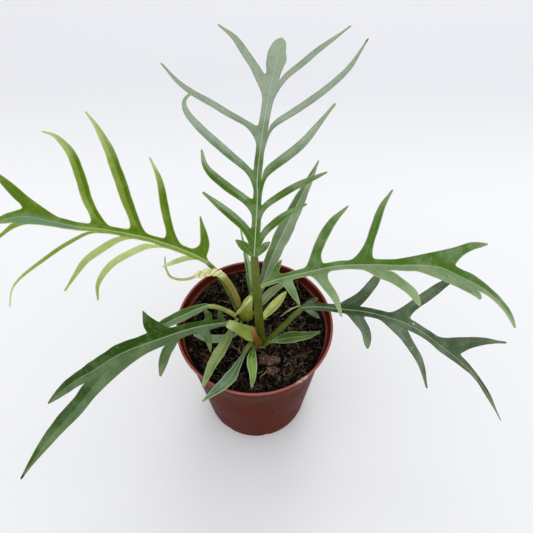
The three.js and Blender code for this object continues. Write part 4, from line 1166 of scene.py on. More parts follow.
# %% Stalk skin group
def build_stalk_skin():
    tree, given, result = skin_group("stalk skin", "Body Streak Top", "Specks Gloss")
    place = tree.place()
    cloud = tree.noise(place, 120, 3.0)
    angle = tree.times(tree.attribute("around"), 2 * math.pi)
    fibres = tree.math("SINE", tree.plus(tree.times(angle, 9.0), tree.times(cloud, 6.0)))
    colour = tree.blend(tree.step(fibres, 0.1, 1.0, 0.0, 0.55), given["Body"], given["Streak"])
    upper = tree.step(tree.attribute("share"), 0.55, 1.0)
    colour = tree.blend(upper, colour, given["Top"], 0.8)
    colour = tree.shade(colour, tree.step(cloud, 0.25, 0.75, 0.75, 1.2))
    dots = tree.times(tree.step(tree.noise(place, 700), 0.68, 0.74), given["Specks"])
    colour = tree.blend(dots, colour, given["Top"])
    rough = tree.plus(given["Gloss"], tree.step(cloud, 0.3, 0.7, -0.06, 0.08))
    height = tree.plus(tree.times(fibres, 0.3), tree.times(dots, 0.8))
    return close_skin(tree, result, colour, rough, height)


# %% Stalk material
stalk_skin = build_stalk_skin()


def stalk_material(name, colours, specks=0.5):
    values = dict(zip(("Body", "Streak", "Top"), colours), Specks=specks, Gloss=0.42)
    return material_from(name, stalk_skin, values, bump=0.4, bump_size=0.2 * MM,
                         Specular_IOR_Level=0.12)


# %% [markdown]
# ## Colours of each leaf
#
# The leaves of one plant differ: the youngest is bright yellow-green, the oldest dark
# and bluish with chalky dust. "colours" are deep green, painted sheen, pale tip, vein and
# underside. "sheen" gives how much painted sheen, light glancing off the leaf, the right
# and left half show, "halves" adds to it on the back and front half of each lobe, and
# "rise" adds more of it between two heights, as on the tall leaf, whose top leans back
# towards the light. "dark_foot" takes painted sheen away near the stalk, "frost"
# gives the stretch of the midrib with a painted bluish sheen, "vein" the width of its pale
# line, "wave" the ripple of the margins, "specks" the dust and "margin" the strength of
# the pale rim. "lobes" overrules a few values for single lobes.

# %% Looks of the large leaves
LOOKS = {
    "leaf_upright": {
        "colours": ("446612", "95a38f", "a3b67f", "b9c8aa", "94a57e"), "edge": "6c8353",
        "stalk": ("465012", "525c1a", "5a6428"),
        "sheen": (0.05, 0.05), "halves": (0.0, 0.1), "rise": (236, 266, 0.95),
        "vein": 0.5, "tip_pale": 0.3, "specks": 0.3,
        "lobes": {1: {"halves": (0.0, 0.3)}, 2: {"halves": (0.0, 0.35)},
                  3: {"halves": (-0.05, 0.4)}, 4: {"halves": (-0.05, 0.4)}, 7: {"burn": 0.6}},
    },
    "leaf_left_high": {
        "colours": ("507004", "82963c", "c1d18c", "adc284", "a4b677"),
        "stalk": ("5f6828", "72793c", "8d9868"),
        "sheen": (0.15, 0.85), "halves": (-0.1, 0.75), "vein": 0.9, "tip_pale": 0.75,
        "rib_pale": 0.1, "frost": (0.52, 0.86), "specks": 0.1,
        "lobes": {0: {"halves": (0, 0), "tip_pale": 0.1}, 1: {"halves": (0, 0.15)},
                  4: {"halves": (0, 0), "tip_pale": 0.1},
                  5: {"pale": 0.6}, 6: {"pale": 0.75, "tip_pale": -0.6},
                  7: {"pale": 0.5, "tip_pale": -0.2}},
    },
    "leaf_left_low": {
        "colours": ("284604", "5f7650", "93aa67", "96ad7d", "889a72"), "edge": "57612a",
        "stalk": ("6d8038", "7c8f48", "8fa060"),
        "sheen": (0.0, 0.8), "halves": (0.1, -0.1), "vein": 0.7, "tip_pale": 0.25,
        "specks": 0.4, "wave": 0.5,
        "lobes": {5: {"halves": (0.1, -0.6), "burn": 1.0}},
    },
    "leaf_right_high": {
        "colours": ("486c1f", "849a70", "aabc8a", "b5c6a2", "95a583"),
        "stalk": ("76893e", "869a50", "96a866"),
        "sheen": (0.85, 0.15), "halves": (0.1, 0.0), "vein": 0.6, "tip_pale": 0.4,
        "specks": 0.45, "dark_foot": 0.45,
        "lobes": {0: {"halves": (-0.1, -0.15)}, 4: {"halves": (-0.5, -0.2)}},
    },
    "leaf_right_low": {
        "colours": ("2f471f", "7c8b74", "8ca375", "a5b997", "859679"), "edge": "46573a",
        "stalk": ("4e6216", "5a6c22", "6e7a42"),
        "sheen": (0.45, 0.35), "halves": (0.1, 0.0), "vein": 0.5, "tip_pale": 0.3,
        "specks": 0.9, "wave": 0.6, "dark_foot": 0.9,
        "lobes": {0: {"halves": (-0.35, -0.35)}, 4: {"halves": (-0.45, -0.45)}},
    },
    "leaf_left_mid": {
        "colours": ("496c28", "819575", "9fb174", "a8bd8c", "869a6a"),
        "stalk": ("a6b05e", "b6c076", "bcc586"),
        "sheen": (0.05, 0.6), "vein": 0.8, "specks": 0.2,
    },
    "leaf_back_right": {
        "colours": ("3f5c20", "8b9b7f", "9dae86", "b0be9e", "91a27f"),
        "stalk": ("7f9268", "8fa078", "8fa078"),
        "sheen": (0.85, 0.3), "vein": 0.7, "specks": 0.3,
    },
    "leaf_back_left": {
        "colours": ("3f6430", "8fa472", "a3b884", "a5b98a", "93a87f"),
        "stalk": ("7f925a", "90a36a", "90a36a"),
        "sheen": (0.95, 0.0), "vein": 0.5, "specks": 0.1,
    },
}

# %% Looks of the small leaves
LOOKS.update({
    "small_front": {
        "colours": ("2f5a16", "86a850", "dde4c6", "a2bf76", "8ca46a"),
        "stalk": ("6c7238", "7c8248", "7f8a50"),
        "sheen": (0.85, 0.95), "vein": 0.45, "specks": 0.1, "tip_pale": 0.15,
        "dark_foot": 0.95, "margin": 0.8, "edge": "ccd8ac",
    },
    "small_front_left": {
        "colours": ("3a5428", "698060", "c6d2b4", "93a884", "8ca075"),
        "stalk": ("66702e", "767c40", "7d8248"),
        "sheen": (0.75, 0.5), "vein": 0.45, "specks": 0.2, "tip_pale": 0.15,
        "dark_foot": 0.4, "margin": 0.6,
    },
    "small_left_long": {
        "colours": ("445b2b", "8a9e5e", "abba84", "a0b67a", "8fa072"),
        "stalk": ("8fa050", "9fae62", "9fae62"),
        "sheen": (0.85, 0.5), "vein": 0.5, "specks": 0.2,
    },
    "small_left_under": {
        "colours": ("3a5c28", "86a078", "a9bf98", "8aa47c", "8aa274"),
        "stalk": ("7f9050", "8f9f60", "8f9f60"),
        "sheen": (0.9, 0.8), "vein": 0.4, "specks": 0.1, "pale": 0.45, "tip_pale": 0.4,
    },
    "small_right": {
        "colours": ("3d5719", "7c9460", "d0dabc", "8ea66c", "889f6d"),
        "stalk": ("6c7a30", "7c8a40", "7c8a40"),
        "sheen": (0.5, 0.2), "vein": 0.4, "specks": 0.1, "tip_pale": 0.05,
        "dark_foot": 0.5, "margin": 0.5, "edge": "b8c89c",
    },
    "small_right_grey": {
        "colours": ("384e24", "8ba067", "bbca9d", "a7bb87", "94a67a"),
        "stalk": ("8fa050", "9fae62", "9fae62"),
        "sheen": (0.6, 0.6), "vein": 0.5, "specks": 0.1,
    },
    "small_right_yellow": {
        "colours": ("6f8030", "d4dc80", "e1e88e", "d8e186", "c1ca75"),
        "stalk": ("a9a54a", "b4b058", "b4b058"),
        "sheen": (0.4, 0.75), "vein": 0.5, "specks": 0.05, "pale": 0.1,
    },
})

# %% [markdown]
# ## Growing the leaves
#
# A leaf becomes one piece of two shells, its blade and its stalk, each with a skin of
# its own. Lobed leaves get a point every 1.1 millimetres and plain ones every 0.8, which
# is fine enough for smooth margins and still light.


# %% Leaves
LOBED_STEP, PLAIN_STEP = 1.1, 0.8


def grow_leaf(name, leaf):
    look = LOOKS[name]
    sheet, rib = grow_sheet(leaf, look, LOBED_STEP if leaf["lobes"] else PLAIN_STEP)
    skins = [leaf_material(name + " blade", look),
             stalk_material(name + " stalk", look["stalk"])]
    make_piece(name + "_grown", [(*blade(sheet), 0), (*stalk_tube(leaf, rib), 1)], skins,
               node=name)


for leaf_name, leaf_entry in LEAVES.items():
    grow_leaf(leaf_name, leaf_entry)

# %% [markdown]
# ## Rolled young growth
#
# The newest leaf is still furled: a spiral roll with a brown seam at its foot, then a
# stretch that has been wrung like a cloth into creamy folds, then a thread-like tail.
# One tube does all of it. Its ring is shaped by a small rule that changes along the
# length: a step in radius for the overlapping seam, slanting ridges for the wrung part.

# %% Skin of young growth
def build_young_skin():
    tree, given, result = skin_group("young skin", "Body Cream Seam", "Gloss")
    cloud = tree.noise(tree.place(), 260, 3.0, 0.6)
    # cream where the young growth is pale, with a painted highlight on the wrung leaf's raised
    # strands
    colour = tree.blend(tree.attribute("cream"), given["Body"], given["Cream"])
    seam = tree.times(tree.attribute("seam"), tree.step(cloud, 0.3, 0.6, 0.35, 1.0))
    colour = tree.blend(seam, colour, given["Seam"])
    colour = tree.shade(colour, tree.step(cloud, 0.25, 0.75, 0.78, 1.16))
    rough = tree.plus(given["Gloss"], tree.step(cloud, 0.3, 0.7, -0.05, 0.08))
    return close_skin(tree, result, colour, rough, cloud)


young_skin = build_young_skin()

# %% Shapes of rolls
WRING_TURNS = 1.8


def furled(_, turn):
    """A roll of one and a half turns: its radius steps where the edge lies on top."""
    return 0.92 + 0.18 * np.mod(turn / (2 * math.pi) - 0.4, 1)


def strands(u, turn, start, end):
    """Outline of two strands twisted round each other, about 1 at its widest."""
    angle = turn + 2 * math.pi * WRING_TURNS * (u - start) / (end - start)
    angle = angle + 0.7 * np.sin(43 * u + 0.6) + 0.3 * np.sin(97 * u)
    return 0.40 * np.abs(np.cos(angle)) + np.sqrt(0.65 ** 2 - (0.40 * np.sin(angle)) ** 2)


def wrung(start, end):
    def shape(u, turn):
        inside = smooth((u - start + 0.015) / 0.03) * smooth((end + 0.015 - u) / 0.03)
        twist = strands(u, turn, start, end) * (1 + 0.04 * np.sin(5 * turn + 60 * u))
        plain = furled(u, turn) if u < start else np.ones(len(turn))
        return plain + (twist - plain) * inside
    return shape


def crumpled(u, turn):
    return 1 + 0.22 * np.sin(turn * 2 + 9 * u) * np.sin(31 * u + turn)


# %% Growing the rolls
YOUNG_LOOKS = {
    "leaf_new": ("83843a", "dfdfa0", "84642a"),
    "bud": ("a9a750", "cdcb86", "a08040"),
    "spear": ("a9a888", "bdb496", "94806a"),
    "twig": ("b0a068", "cabc88", "8a7448"),
}


def grow_young(name, rod):
    rolled = name == "leaf_new"
    sides, step = (32, 0.35) if rolled else (16, 0.6)
    shape = wrung(*rod["wrung"]) if rolled else furled if name == "spear" else crumpled
    points, faces, values = tube(Curve(rod["path"]), rod["radius"], sides, shape, step)
    share, around = values["share"], values["around"]
    if rolled:
        # cream colour, stronger on the raised strands as a painted highlight so that the grooves
        # stay darker as painted shade, and a brown band with a dark line along the seam
        start, end = rod["wrung"]
        ridge_highlight = smooth((strands(share, around * 2 * math.pi, start, end) - 0.52) / 0.35)
        cream = smooth((share - start + 0.05) / 0.06) * (0.55 + 0.45 * ridge_highlight)
        cream = cream * (1 - 0.6 * smooth((share - end) / 0.04))
        band = smooth(1 - np.abs(around - 0.6) / 0.17)
        band = 0.75 * band * (1 - smooth((share - start + 0.02) / 0.05))
        seam = np.maximum(band, smooth(1 - np.abs(around - 0.4) / 0.04) * (share < start))
    else:
        cream, seam = smooth(share * 1.2), 0.5 * smooth((0.12 - around) / 0.06)
    values.update(cream=cream, seam=np.clip(seam, 0, 1))
    colours = dict(zip(("Body", "Cream", "Seam"), YOUNG_LOOKS[name]), Gloss=0.45)
    skin = material_from(name + " skin", young_skin, colours, bump=0.35, bump_size=0.2 * MM,
                         Specular_IOR_Level=0.25)
    make_piece(name + "_grown", [(points, faces, values, 0)], [skin], node=name)


for rod_name, rod_entry in ROLLED.items():
    grow_young(rod_name, rod_entry)

# %% [markdown]
# ## Shoots and sheaths
#
# Both shoots are short and thick: the front one is an olive stub ringed with old leaf
# scars, the back one a pale sheath that clasps the new leaf and ends in a slanting
# point. In front of the tall stalk stand a rolled sheath, cut square, and its dry brown
# edge. All are flattened tubes: a tube's own "side" says which way it is widest.

# %% Shoots
TOWARDS_VIEWER = (0.04, -0.51, 0.86)


def widest_way(path):
    """Direction across a flat tube that shows its broad face to the viewer."""
    return unit(np.cross(TOWARDS_VIEWER, np.subtract(path[-1], path[0])))


def flattened(depth, rings=0, scar=0.0, lap=0.0):
    """Ring of an oval tube, with scars round it and a lapped edge along it."""
    def shape(u, turn):
        oval = 1 / np.sqrt(np.cos(turn) ** 2 + (np.sin(turn) / depth) ** 2)
        ring = 1 - scar * (1 - np.abs(np.sin(math.pi * rings * u)) ** 0.5)
        edge = 1 - lap * smooth((turn - 4.0) / 0.15) * smooth((5.3 - turn) / 1.0)
        return oval * ring * edge * (1 + 0.015 * np.sin(3 * turn + 5 * u))
    return shape


SHOOTS = {
    "stem_front": {
        "tubes": [([[5, -10, 94], [5, -10, 102], [5, -10, 110]],
                   [(0, 5.0), (0.6, 4.7), (1, 4.4)], flattened(1, 5, 0.05))],
        "colours": ("6f7a2c", "8a8c44", "a08c54"),
    },
    "stem_back": {
        "tubes": [([[-8, 14, 94], [-7.6, 14.2, 105], [-7.2, 15.5, 112.5], [-5.8, 18, 119.5],
                    [-3.2, 21, 126]],
                   [(0, 6.0), (0.4, 5.9), (0.65, 4.9), (0.85, 3.4), (1, 1.4)],
                   flattened(0.75, 2, 0.02, 0.08)),
                  ([[-15, 9.4, 116.4], [-11.5, 9.8, 121.6], [-6.8, 11.4, 128.4], [-2.4, 14, 133]],
                   [(0, 0.6), (0.2, 1.5), (0.6, 1.4), (1, 0.6)], flattened(0.45, lap=0.2))],
        "colours": ("989c36", "aeb24e", "c0c47c"), "flap": ("a9ae66", "c4c890", "d6d8b0"),
    },
    "sheath": {
        "tubes": [([[0.2, -13, 122.2], [-4, -12, 124.4], [-11, -10, 127], [-20, -7.5, 131]],
                   [(0, 5.2), (0.2, 5.8), (0.5, 4.6), (0.96, 3.2), (1, 2.8)],
                   flattened(0.5, lap=0.14))],
        "colours": ("7a8a36", "8c984a", "b8c088"), "square": True,
    },
    "strip_dry": {
        "tubes": [([[4.4, -15.6, 112], [3.2, -16.6, 118], [1.4, -17, 126], [0, -16.6, 133],
                    [-1, -15.6, 139]],
                   [(0, 1.8), (0.2, 2.9), (0.45, 2.5), (0.75, 1.6), (1, 0.9)],
                   flattened(0.45, lap=0.3))],
        "colours": ("5a3a16", "9c6c40", "a57c50"),
    },
}

for shoot_name, shoot in SHOOTS.items():
    shells = []
    for number, (path, radii, shape) in enumerate(shoot["tubes"]):
        shells.append((*tube(Curve(path), radii, 36, shape, 0.5, not shoot.get("square"),
                             widest_way(path)), number))
    skins = [stalk_material(shoot_name + " " + part, shoot[part], specks=0.2)
             for part in ("colours", "flap") if part in shoot]
    make_piece(shoot_name + "_grown", shells, skins, node=shoot_name)

# %% [markdown]
# ## The pot
#
# A thrown or moulded pot is a surface of revolution, so Geometry Nodes can make it from
# its section: Mesh to Curve reads the section, Curve to Mesh sweeps it round a circle,
# and Set Position presses the shallow drainage notches into the foot. Number of
# notches, their size and the fineness of the circle are inputs of the tree.

# %% Pot section
POT_HEIGHT, LIP_RADIUS, FOOT_RADIUS = 120.0, 60.0, 43.0
POT_WALL, POT_FLOOR, BAND_HEIGHT, COLLAR_RADIUS = 1.4, 2.5, 103.0, 57.2
LIP_BEAD = 0.9


def pot_section():
    """Radius and height of the pot's section, from the axis out, up and back in."""
    outer = [(0, 0), (20, 0), (36, 0), (FOOT_RADIUS - 1, 0), (FOOT_RADIUS - 0.35, 0.2),
             (FOOT_RADIUS, 0.8)]
    heights = [1.6, 2.4, 3.2, 5, 12, 30, 50, 70, 90, BAND_HEIGHT - 1.2]
    slope = (54.6 - FOOT_RADIUS) / (BAND_HEIGHT - 1)
    outer += [(FOOT_RADIUS + slope * h, h) for h in heights]
    outer += [(55.0, BAND_HEIGHT - 0.5), (55.4, BAND_HEIGHT), (55.7, BAND_HEIGHT + 0.8),
              (56.5, 109.5), (COLLAR_RADIUS, POT_HEIGHT - 6), (57.6, POT_HEIGHT - 5.3),
              (58.3, POT_HEIGHT - 3)]
    centre = (LIP_RADIUS - LIP_BEAD, POT_HEIGHT - LIP_BEAD)
    turns = np.radians(np.linspace(-80, 200, 15))
    bead = [(centre[0] + LIP_BEAD * math.cos(a), centre[1] + LIP_BEAD * math.sin(a))
            for a in turns]
    inner = [(57.0, POT_HEIGHT - 3), (COLLAR_RADIUS - POT_WALL, POT_HEIGHT - 6), (54.6, 109),
             (55.2 - POT_WALL, BAND_HEIGHT), (47.5, 50), (FOOT_RADIUS - 2.8, POT_FLOOR + 1),
             (FOOT_RADIUS - 4, POT_FLOOR), (20, POT_FLOOR), (0, POT_FLOOR)]
    return outer + bead + inner


# %% [markdown]
# The helpers below build a Geometry Nodes tree, run it on a mesh and keep the result as a
# plain mesh. Inputs are found by name and set by identifier before Blender first
# evaluates the object. Every tree ends in Realize Instances and Set Material, because an
# export drops instances.


# %% Geometry Nodes helpers
def geometry_group(name, inputs):
    group = bpy.data.node_groups.new(name, "GeometryNodeTree")
    group.is_modifier = True
    sockets = [("INPUT", "Geometry", "Geometry")]
    sockets += [("INPUT", label, kind) for label, kind in inputs.items()]
    for direction, label, kind in sockets + [("OUTPUT", "Geometry", "Geometry")]:
        group.interface.new_socket(label, in_out=direction, socket_type="NodeSocket" + kind)
    tree = Tree(group)
    return tree, tree.add("NodeGroupInput").outputs, tree.add("NodeGroupOutput").inputs


def vector(tree, x=0.0, y=0.0, z=0.0):
    return tree.add("ShaderNodeCombineXYZ", {0: x, 1: y, 2: z}).outputs[0]


def here(tree):
    return tree.add("GeometryNodeInputPosition").outputs[0]


def shift(tree, geometry, offset):
    inputs = {"Geometry": geometry, "Offset": offset}
    return tree.add("GeometryNodeSetPosition", inputs).outputs[0]


def realize(tree, geometry):
    return tree.add("GeometryNodeRealizeInstances", {"Geometry": geometry}).outputs[0]


def close_shape(tree, result, geometry, material):
    inputs = {"Geometry": realize(tree, geometry), "Material": material}
    tree.feed(result[0], tree.add("GeometryNodeSetMaterial", inputs).outputs[0])
    return tree.tree


def run_tree(name, mesh, group, values):
    """Evaluates the tree on a mesh and returns the finished mesh."""
    carrier = put(name + " carrier", mesh)
    modifier = carrier.modifiers.new("grow", "NODES")
    modifier.node_group = group
    for item in group.interface.items_tree:
        if item.in_out == "INPUT" and item.name in values:
            modifier[item.identifier] = values[item.name]
    evaluated = carrier.evaluated_get(bpy.context.evaluated_depsgraph_get())
    made = bpy.data.meshes.new_from_object(evaluated)
    carrier.modifiers.clear()
    bpy.data.objects.remove(carrier)
    made.name = name
    return made


# %% Pot tree
def build_lathe():
    tree, given, result = geometry_group("lathe", {
        "Ring Radius": "Float", "Segments": "Int", "Notches": "Int", "Notch Radius": "Float",
        "Notch Depth": "Float", "Foot Radius": "Float", "Plastic": "Material"})
    ring = tree.add("GeometryNodeCurvePrimitiveCircle",
                    {"Resolution": given["Segments"], "Radius": given["Ring Radius"]})
    section = tree.add("GeometryNodeMeshToCurve", {0: given["Geometry"]})
    swept = tree.add("GeometryNodeCurveToMesh",
                     {"Curve": ring.outputs[0], "Profile Curve": section.outputs[0]})
    welded = tree.add("GeometryNodeMergeByDistance",
                      {"Geometry": swept.outputs[0], "Distance": 0.02 * MM})

    # distance along the foot's edge from the middle of the nearest notch
    x, y, z, radius = tree.split(here(tree))
    angle = tree.math("DIVIDE", tree.math("ARCTAN2", y, x), 2 * math.pi)
    steps = tree.minus(tree.times(angle, given["Notches"]), 0.25)
    off = tree.minus(steps, tree.math("ROUND", steps))
    arc = tree.times(tree.math("DIVIDE", off, given["Notches"]),
                     tree.times(given["Foot Radius"], 2 * math.pi))

    # a half-round notch, pressed in where the wall is lower than its arch
    share = tree.math("DIVIDE", arc, given["Notch Radius"])
    fullness = tree.math("MAXIMUM", tree.minus(1.0, tree.times(share, share)))
    arch = tree.times(tree.math("SQRT", fullness), given["Notch Radius"])
    low = tree.fall(tree.minus(z, arch), -0.3 * MM, 0.3 * MM)
    outer = tree.step(radius, (FOOT_RADIUS - 1.8) * MM, (FOOT_RADIUS - 0.8) * MM)
    push = tree.times(tree.times(low, outer), given["Notch Depth"])
    shrink = tree.math("DIVIDE", tree.times(push, -1.0), radius)
    pressed = shift(tree, welded.outputs[0],
                    vector(tree, tree.times(x, shrink), tree.times(y, shrink)))
    outward = tree.add("GeometryNodeFlipFaces", {0: pressed})
    soft = tree.add("GeometryNodeSetShadeSmooth", {"Geometry": outward.outputs[0]})
    return close_shape(tree, result, soft.outputs[0], given["Plastic"])


# %% [markdown]
# ## Pot plastic
#
# Thin, slightly shiny red-brown plastic. The rolled lip is painted paler, a painted highlight
# where its top catches the light, and the inner wall has a lighter colour than the outer
# wall, painted light against the shade under the lip. The inner wall is stained by wet peat
# and rubbed pale in one place, the outer wall is faintly clouded and scratched, and a little
# lime has dried on the lip at the front right. Everything is placed by the height and the
# distance from the axis, read from Object coordinates.


# %% Pot material
MIDDLE_LEAN, MIDDLE_FOOT = 0.122, 42.2        # a cone through the middle of the wall


def build_plastic_skin():
    tree, given, result = skin_group("worn plastic", "Wall Lip Inside Lime")
    place = tree.place()
    _, _, z, radius = tree.split(place)
    cloud, grain = tree.noise(place, 28, 4.0, 0.6), tree.noise(place, 1500, 2.0, 0.6)

    # lip with a painted highlight, and the inner wall painted lighter against its shade
    middle = tree.plus(tree.times(z, MIDDLE_LEAN), MIDDLE_FOOT * MM)
    inside = tree.times(tree.fall(tree.minus(radius, middle), -0.6 * MM, 0.0),
                        tree.fall(z, 117.2 * MM, 118.6 * MM))
    lip_highlight = tree.step(z, 118.9 * MM, 119.5 * MM)
    colour = tree.blend(lip_highlight, given["Wall"], given["Lip"])
    # the inner wall's lighter colour is painted light against the shade under the lip
    colour = tree.blend(inside, colour, given["Inside"])

    # peat stains low on the inner wall, and one rubbed place at the right
    peaty = tree.step(tree.noise(place, 160, 4.0, 0.7), 0.45, 0.6)
    stain = tree.times(tree.times(inside, tree.fall(z, 104 * MM, 113 * MM)), peaty)
    colour = tree.blend(stain, colour, paint("1c1310"), 0.8)
    near = tree.fall(tree.distance(place, (53, -3, 111)), 5 * MM, 10 * MM)
    worn = tree.step(tree.noise(place, 420, 3.0), 0.5, 0.58)
    rubbed = tree.times(tree.times(inside, near), worn)
    colour = tree.blend(rubbed, colour, paint("a87a70"), 0.7)
    value = tree.plus(tree.step(cloud, 0.25, 0.75, 0.84, 1.14), tree.drift(grain, 0.04))
    colour = tree.shade(colour, value)

    # long scuffs round the wall
    stretched = tree.add("ShaderNodeMapping", {"Vector": place, "Scale": (90, 90, 1100)})
    scuffs = tree.step(tree.noise(stretched.outputs[0], 1.0), 0.70, 0.76)
    scuffs = tree.times(scuffs, tree.step(tree.noise(place, 55), 0.52, 0.62))
    colour = tree.blend(scuffs, colour, paint("b98a80"), 0.35)

    # dried lime on the lip
    crust = tree.times(tree.fall(tree.distance(place, (35, -48.3, 119)), 3.5 * MM, 6.5 * MM),
                       tree.step(tree.noise(place, 900, 3.0, 0.7), 0.45, 0.55))
    colour = tree.blend(crust, colour, given["Lime"])
    dull = tree.times(tree.math("MAXIMUM", scuffs, crust), 0.3)
    rough = tree.plus(tree.step(cloud, 0.3, 0.7, 0.36, 0.48), dull, clamp=True)
    height = tree.minus(tree.plus(tree.times(grain, 0.15), crust), tree.times(scuffs, 0.3))
    return close_skin(tree, result, colour, rough, height)


plastic = material_from(
    "pot plastic", build_plastic_skin(),
    {"Wall": "48190d", "Lip": "9b5c54", "Inside": "8f4a3e", "Lime": "b9b29c"},
    bump=0.3, bump_size=0.2 * MM, Specular_IOR_Level=0.015)

# %% Pot piece
RING_RADIUS = 50.0

section = pot_section()
section_mesh = bpy.data.meshes.new("pot section")
section_mesh.from_pydata([((r - RING_RADIUS) * MM, -z * MM, 0) for r, z in section],
                         [(i, i + 1) for i in range(len(section) - 1)], [])
pot_mesh = run_tree("pot_fine", section_mesh, build_lathe(), {
    "Ring Radius": RING_RADIUS * MM, "Segments": 360, "Notches": 8, "Notch Radius": 2.6 * MM,
    "Notch Depth": 1.2 * MM, "Foot Radius": FOOT_RADIUS * MM, "Plastic": plastic})
corners = np.array([v.co for v in pot_mesh.vertices]) / MM
print("pot box:", corners.min(0).round(2), corners.max(0).round(2))
pot_mesh.calc_loop_triangles()
volume = sum(t.area * t.normal.dot(t.center) for t in pot_mesh.loop_triangles) / 3
print("pot volume:", round(volume / MM ** 3 / 1000, 1), "ml of plastic")
pot_mesh.set_sharp_from_angle(angle=math.radians(40))
place_piece("pot_fine", pot_mesh, "pot")

# %% [markdown]
# ## The soil
#
# The soil's top follows the same slow waves as the solid, with finer lumps from three
# scales of noise, and is banked up against the wall at the back and the sides. It is
# a closed plug: a polar grid on top, one band down to the pot's floor and a flat
# underside.

# %% Soil surface
SOIL_LEVEL, SOIL_EDGE = 105.0, 53.2
BANK_START, BANK_WIDTH, EDGE_DIP = 40, 13.5, 0.6
WALL_LEAN, WALL_FOOT = 0.2, 31.9        # the inner wall is at WALL_FOOT + WALL_LEAN * height


def soil_height(x, y):
    slow = 0.8 * np.sin(x / 9 + 1.3) * np.cos(y / 11 - 0.4)
    quick = 0.5 * np.sin(x / 3.7 - y / 5.1) + 0.35 * np.cos(x / 2.9 + y / 3.3)
    return SOIL_LEVEL + slow + quick


def lumps(x, y):
    """Three sizes of crumbs under the surface: 4, 1.6 and 0.8 mm."""
    coarse, middling = noise.noise((x / 4, y / 4, 3)), noise.noise((x / 1.6, y / 1.6, 9))
    return coarse + middling * 0.6 + noise.noise((x / 0.8, y / 0.8, 5)) * 0.25


# how far the soil was pushed up the wall, by the angle round the pot in degrees
BANKS = [(0, 5.5), (38, 7.5), (60, 8), (90, 9), (120, 8), (143, 7), (160, 6.2), (180, 5.6),
         (215, 4.5), (250, 2), (300, 1.2), (330, 3.4), (352, 4.8), (360, 5.5)]


def soil_shell():
    rings, sectors = 90, 270
    radii = (np.linspace(0, 1, rings + 1)[1:] ** 0.75 * SOIL_EDGE)[:, None]
    turn = np.arange(sectors) * 2 * math.pi / sectors
    bank = along(BANKS, np.degrees(turn)) * smooth((radii - BANK_START) / BANK_WIDTH)
    reach = radii + WALL_LEAN * bank
    x, y = reach * np.cos(turn), reach * np.sin(turn)
    z = soil_height(x, y) + bank
    z += np.array([[lumps(a, b) for a, b in zip(row_x, row_y)] for row_x, row_y in zip(x, y)])
    z[-1] -= EDGE_DIP
    top = np.stack([x, y, z], -1).reshape(-1, 3)
    deep = np.stack([x[-1] * 0.75, y[-1] * 0.75, 0 * x[-1] + POT_FLOOR + 0.3], -1)
    centre = np.array([[0, 0, soil_height(0, 0)], [0, 0, POT_FLOOR + 0.3]])
    points = np.vstack([top, deep, centre])
    faces, last = [], (rings - 1) * sectors
    middle, bottom = len(points) - 2, len(points) - 1
    for k in range(sectors):
        n = (k + 1) % sectors
        faces.append([middle, k, n])
        for i in range(rings - 1):
            a, b = i * sectors, (i + 1) * sectors
            faces.append([a + k, b + k, b + n, a + n])
        faces.append([last + k, last + sectors + k, last + sectors + n, last + n])
        faces.append([last + sectors + k, bottom, last + sectors + n])
    return points, faces, {"tint": np.zeros(len(points))}


# %% [markdown]
# ## Peat colours
#
# One group colours the surface, the crumbs and the fibres: each crumb carries its own
# "tint", a random number stored by the Geometry Nodes that scattered it, and the tint
# runs from nearly black to the light brown of dry bits.


# %% Peat material
def build_peat_skin():
    tree, given, result = skin_group("peat", "Dark Brown Light", "Lightness")
    place = tree.place()
    fine, coarse = tree.noise(place, 1400, 4.0, 0.7), tree.noise(place, 150, 3.0, 0.6)
    tint = tree.attribute("tint")
    brown = tree.plus(tree.step(coarse, 0.42, 0.72, 0.0, 0.7),
                      tree.step(tint, 0.25, 0.8, 0.0, 0.8), clamp=True)
    colour = tree.blend(brown, given["Dark"], given["Brown"])
    light = tree.times(tree.step(tint, 0.8, 1.0), given["Lightness"])
    colour = tree.blend(light, colour, given["Light"])
    colour = tree.shade(colour, tree.step(fine, 0.25, 0.75, 0.45, 1.5))
    rough = tree.step(coarse, 0.3, 0.7, 0.8, 0.95)
    return close_skin(tree, result, colour, rough, tree.plus(fine, coarse))


peat_skin = build_peat_skin()


def peat_material(name, dark, brown, light, lightness):
    values = {"Dark": dark, "Brown": brown, "Light": light, "Lightness": lightness}
    return material_from(name, peat_skin, values, bump=0.8, bump_size=0.5 * MM,
                         Specular_IOR_Level=0.1)


peat = peat_material("peat", "0b0a08", "241a14", "43352a", 0.5)
make_piece("soil_fine", [(*soil_shell(), 0)], [peat], node="soil", sharp=0)

# %% [markdown]
# ## Crumbs and fibres
#
# Geometry Nodes scatter what lies loose on the soil. Crumbs are ico spheres of 20 or 80
# faces, pressed flat, turned at random and then dented by a noise that reads their
# place, so no two are alike. Fibres lie in loose clumps. They start as straight lines of
# random length that the same kind of noise bends before they get their thickness.


# %% Scatter helpers
def random_number(tree, low, high, seed):
    return tree.add("FunctionNodeRandomValue", {2: low, 3: high, "Seed": seed},
                    data_type="FLOAT").outputs[1]


def random_vector(tree, low, high, seed):
    return tree.add("FunctionNodeRandomValue", {0: low, 1: high, "Seed": seed},
                    data_type="FLOAT_VECTOR").outputs[0]


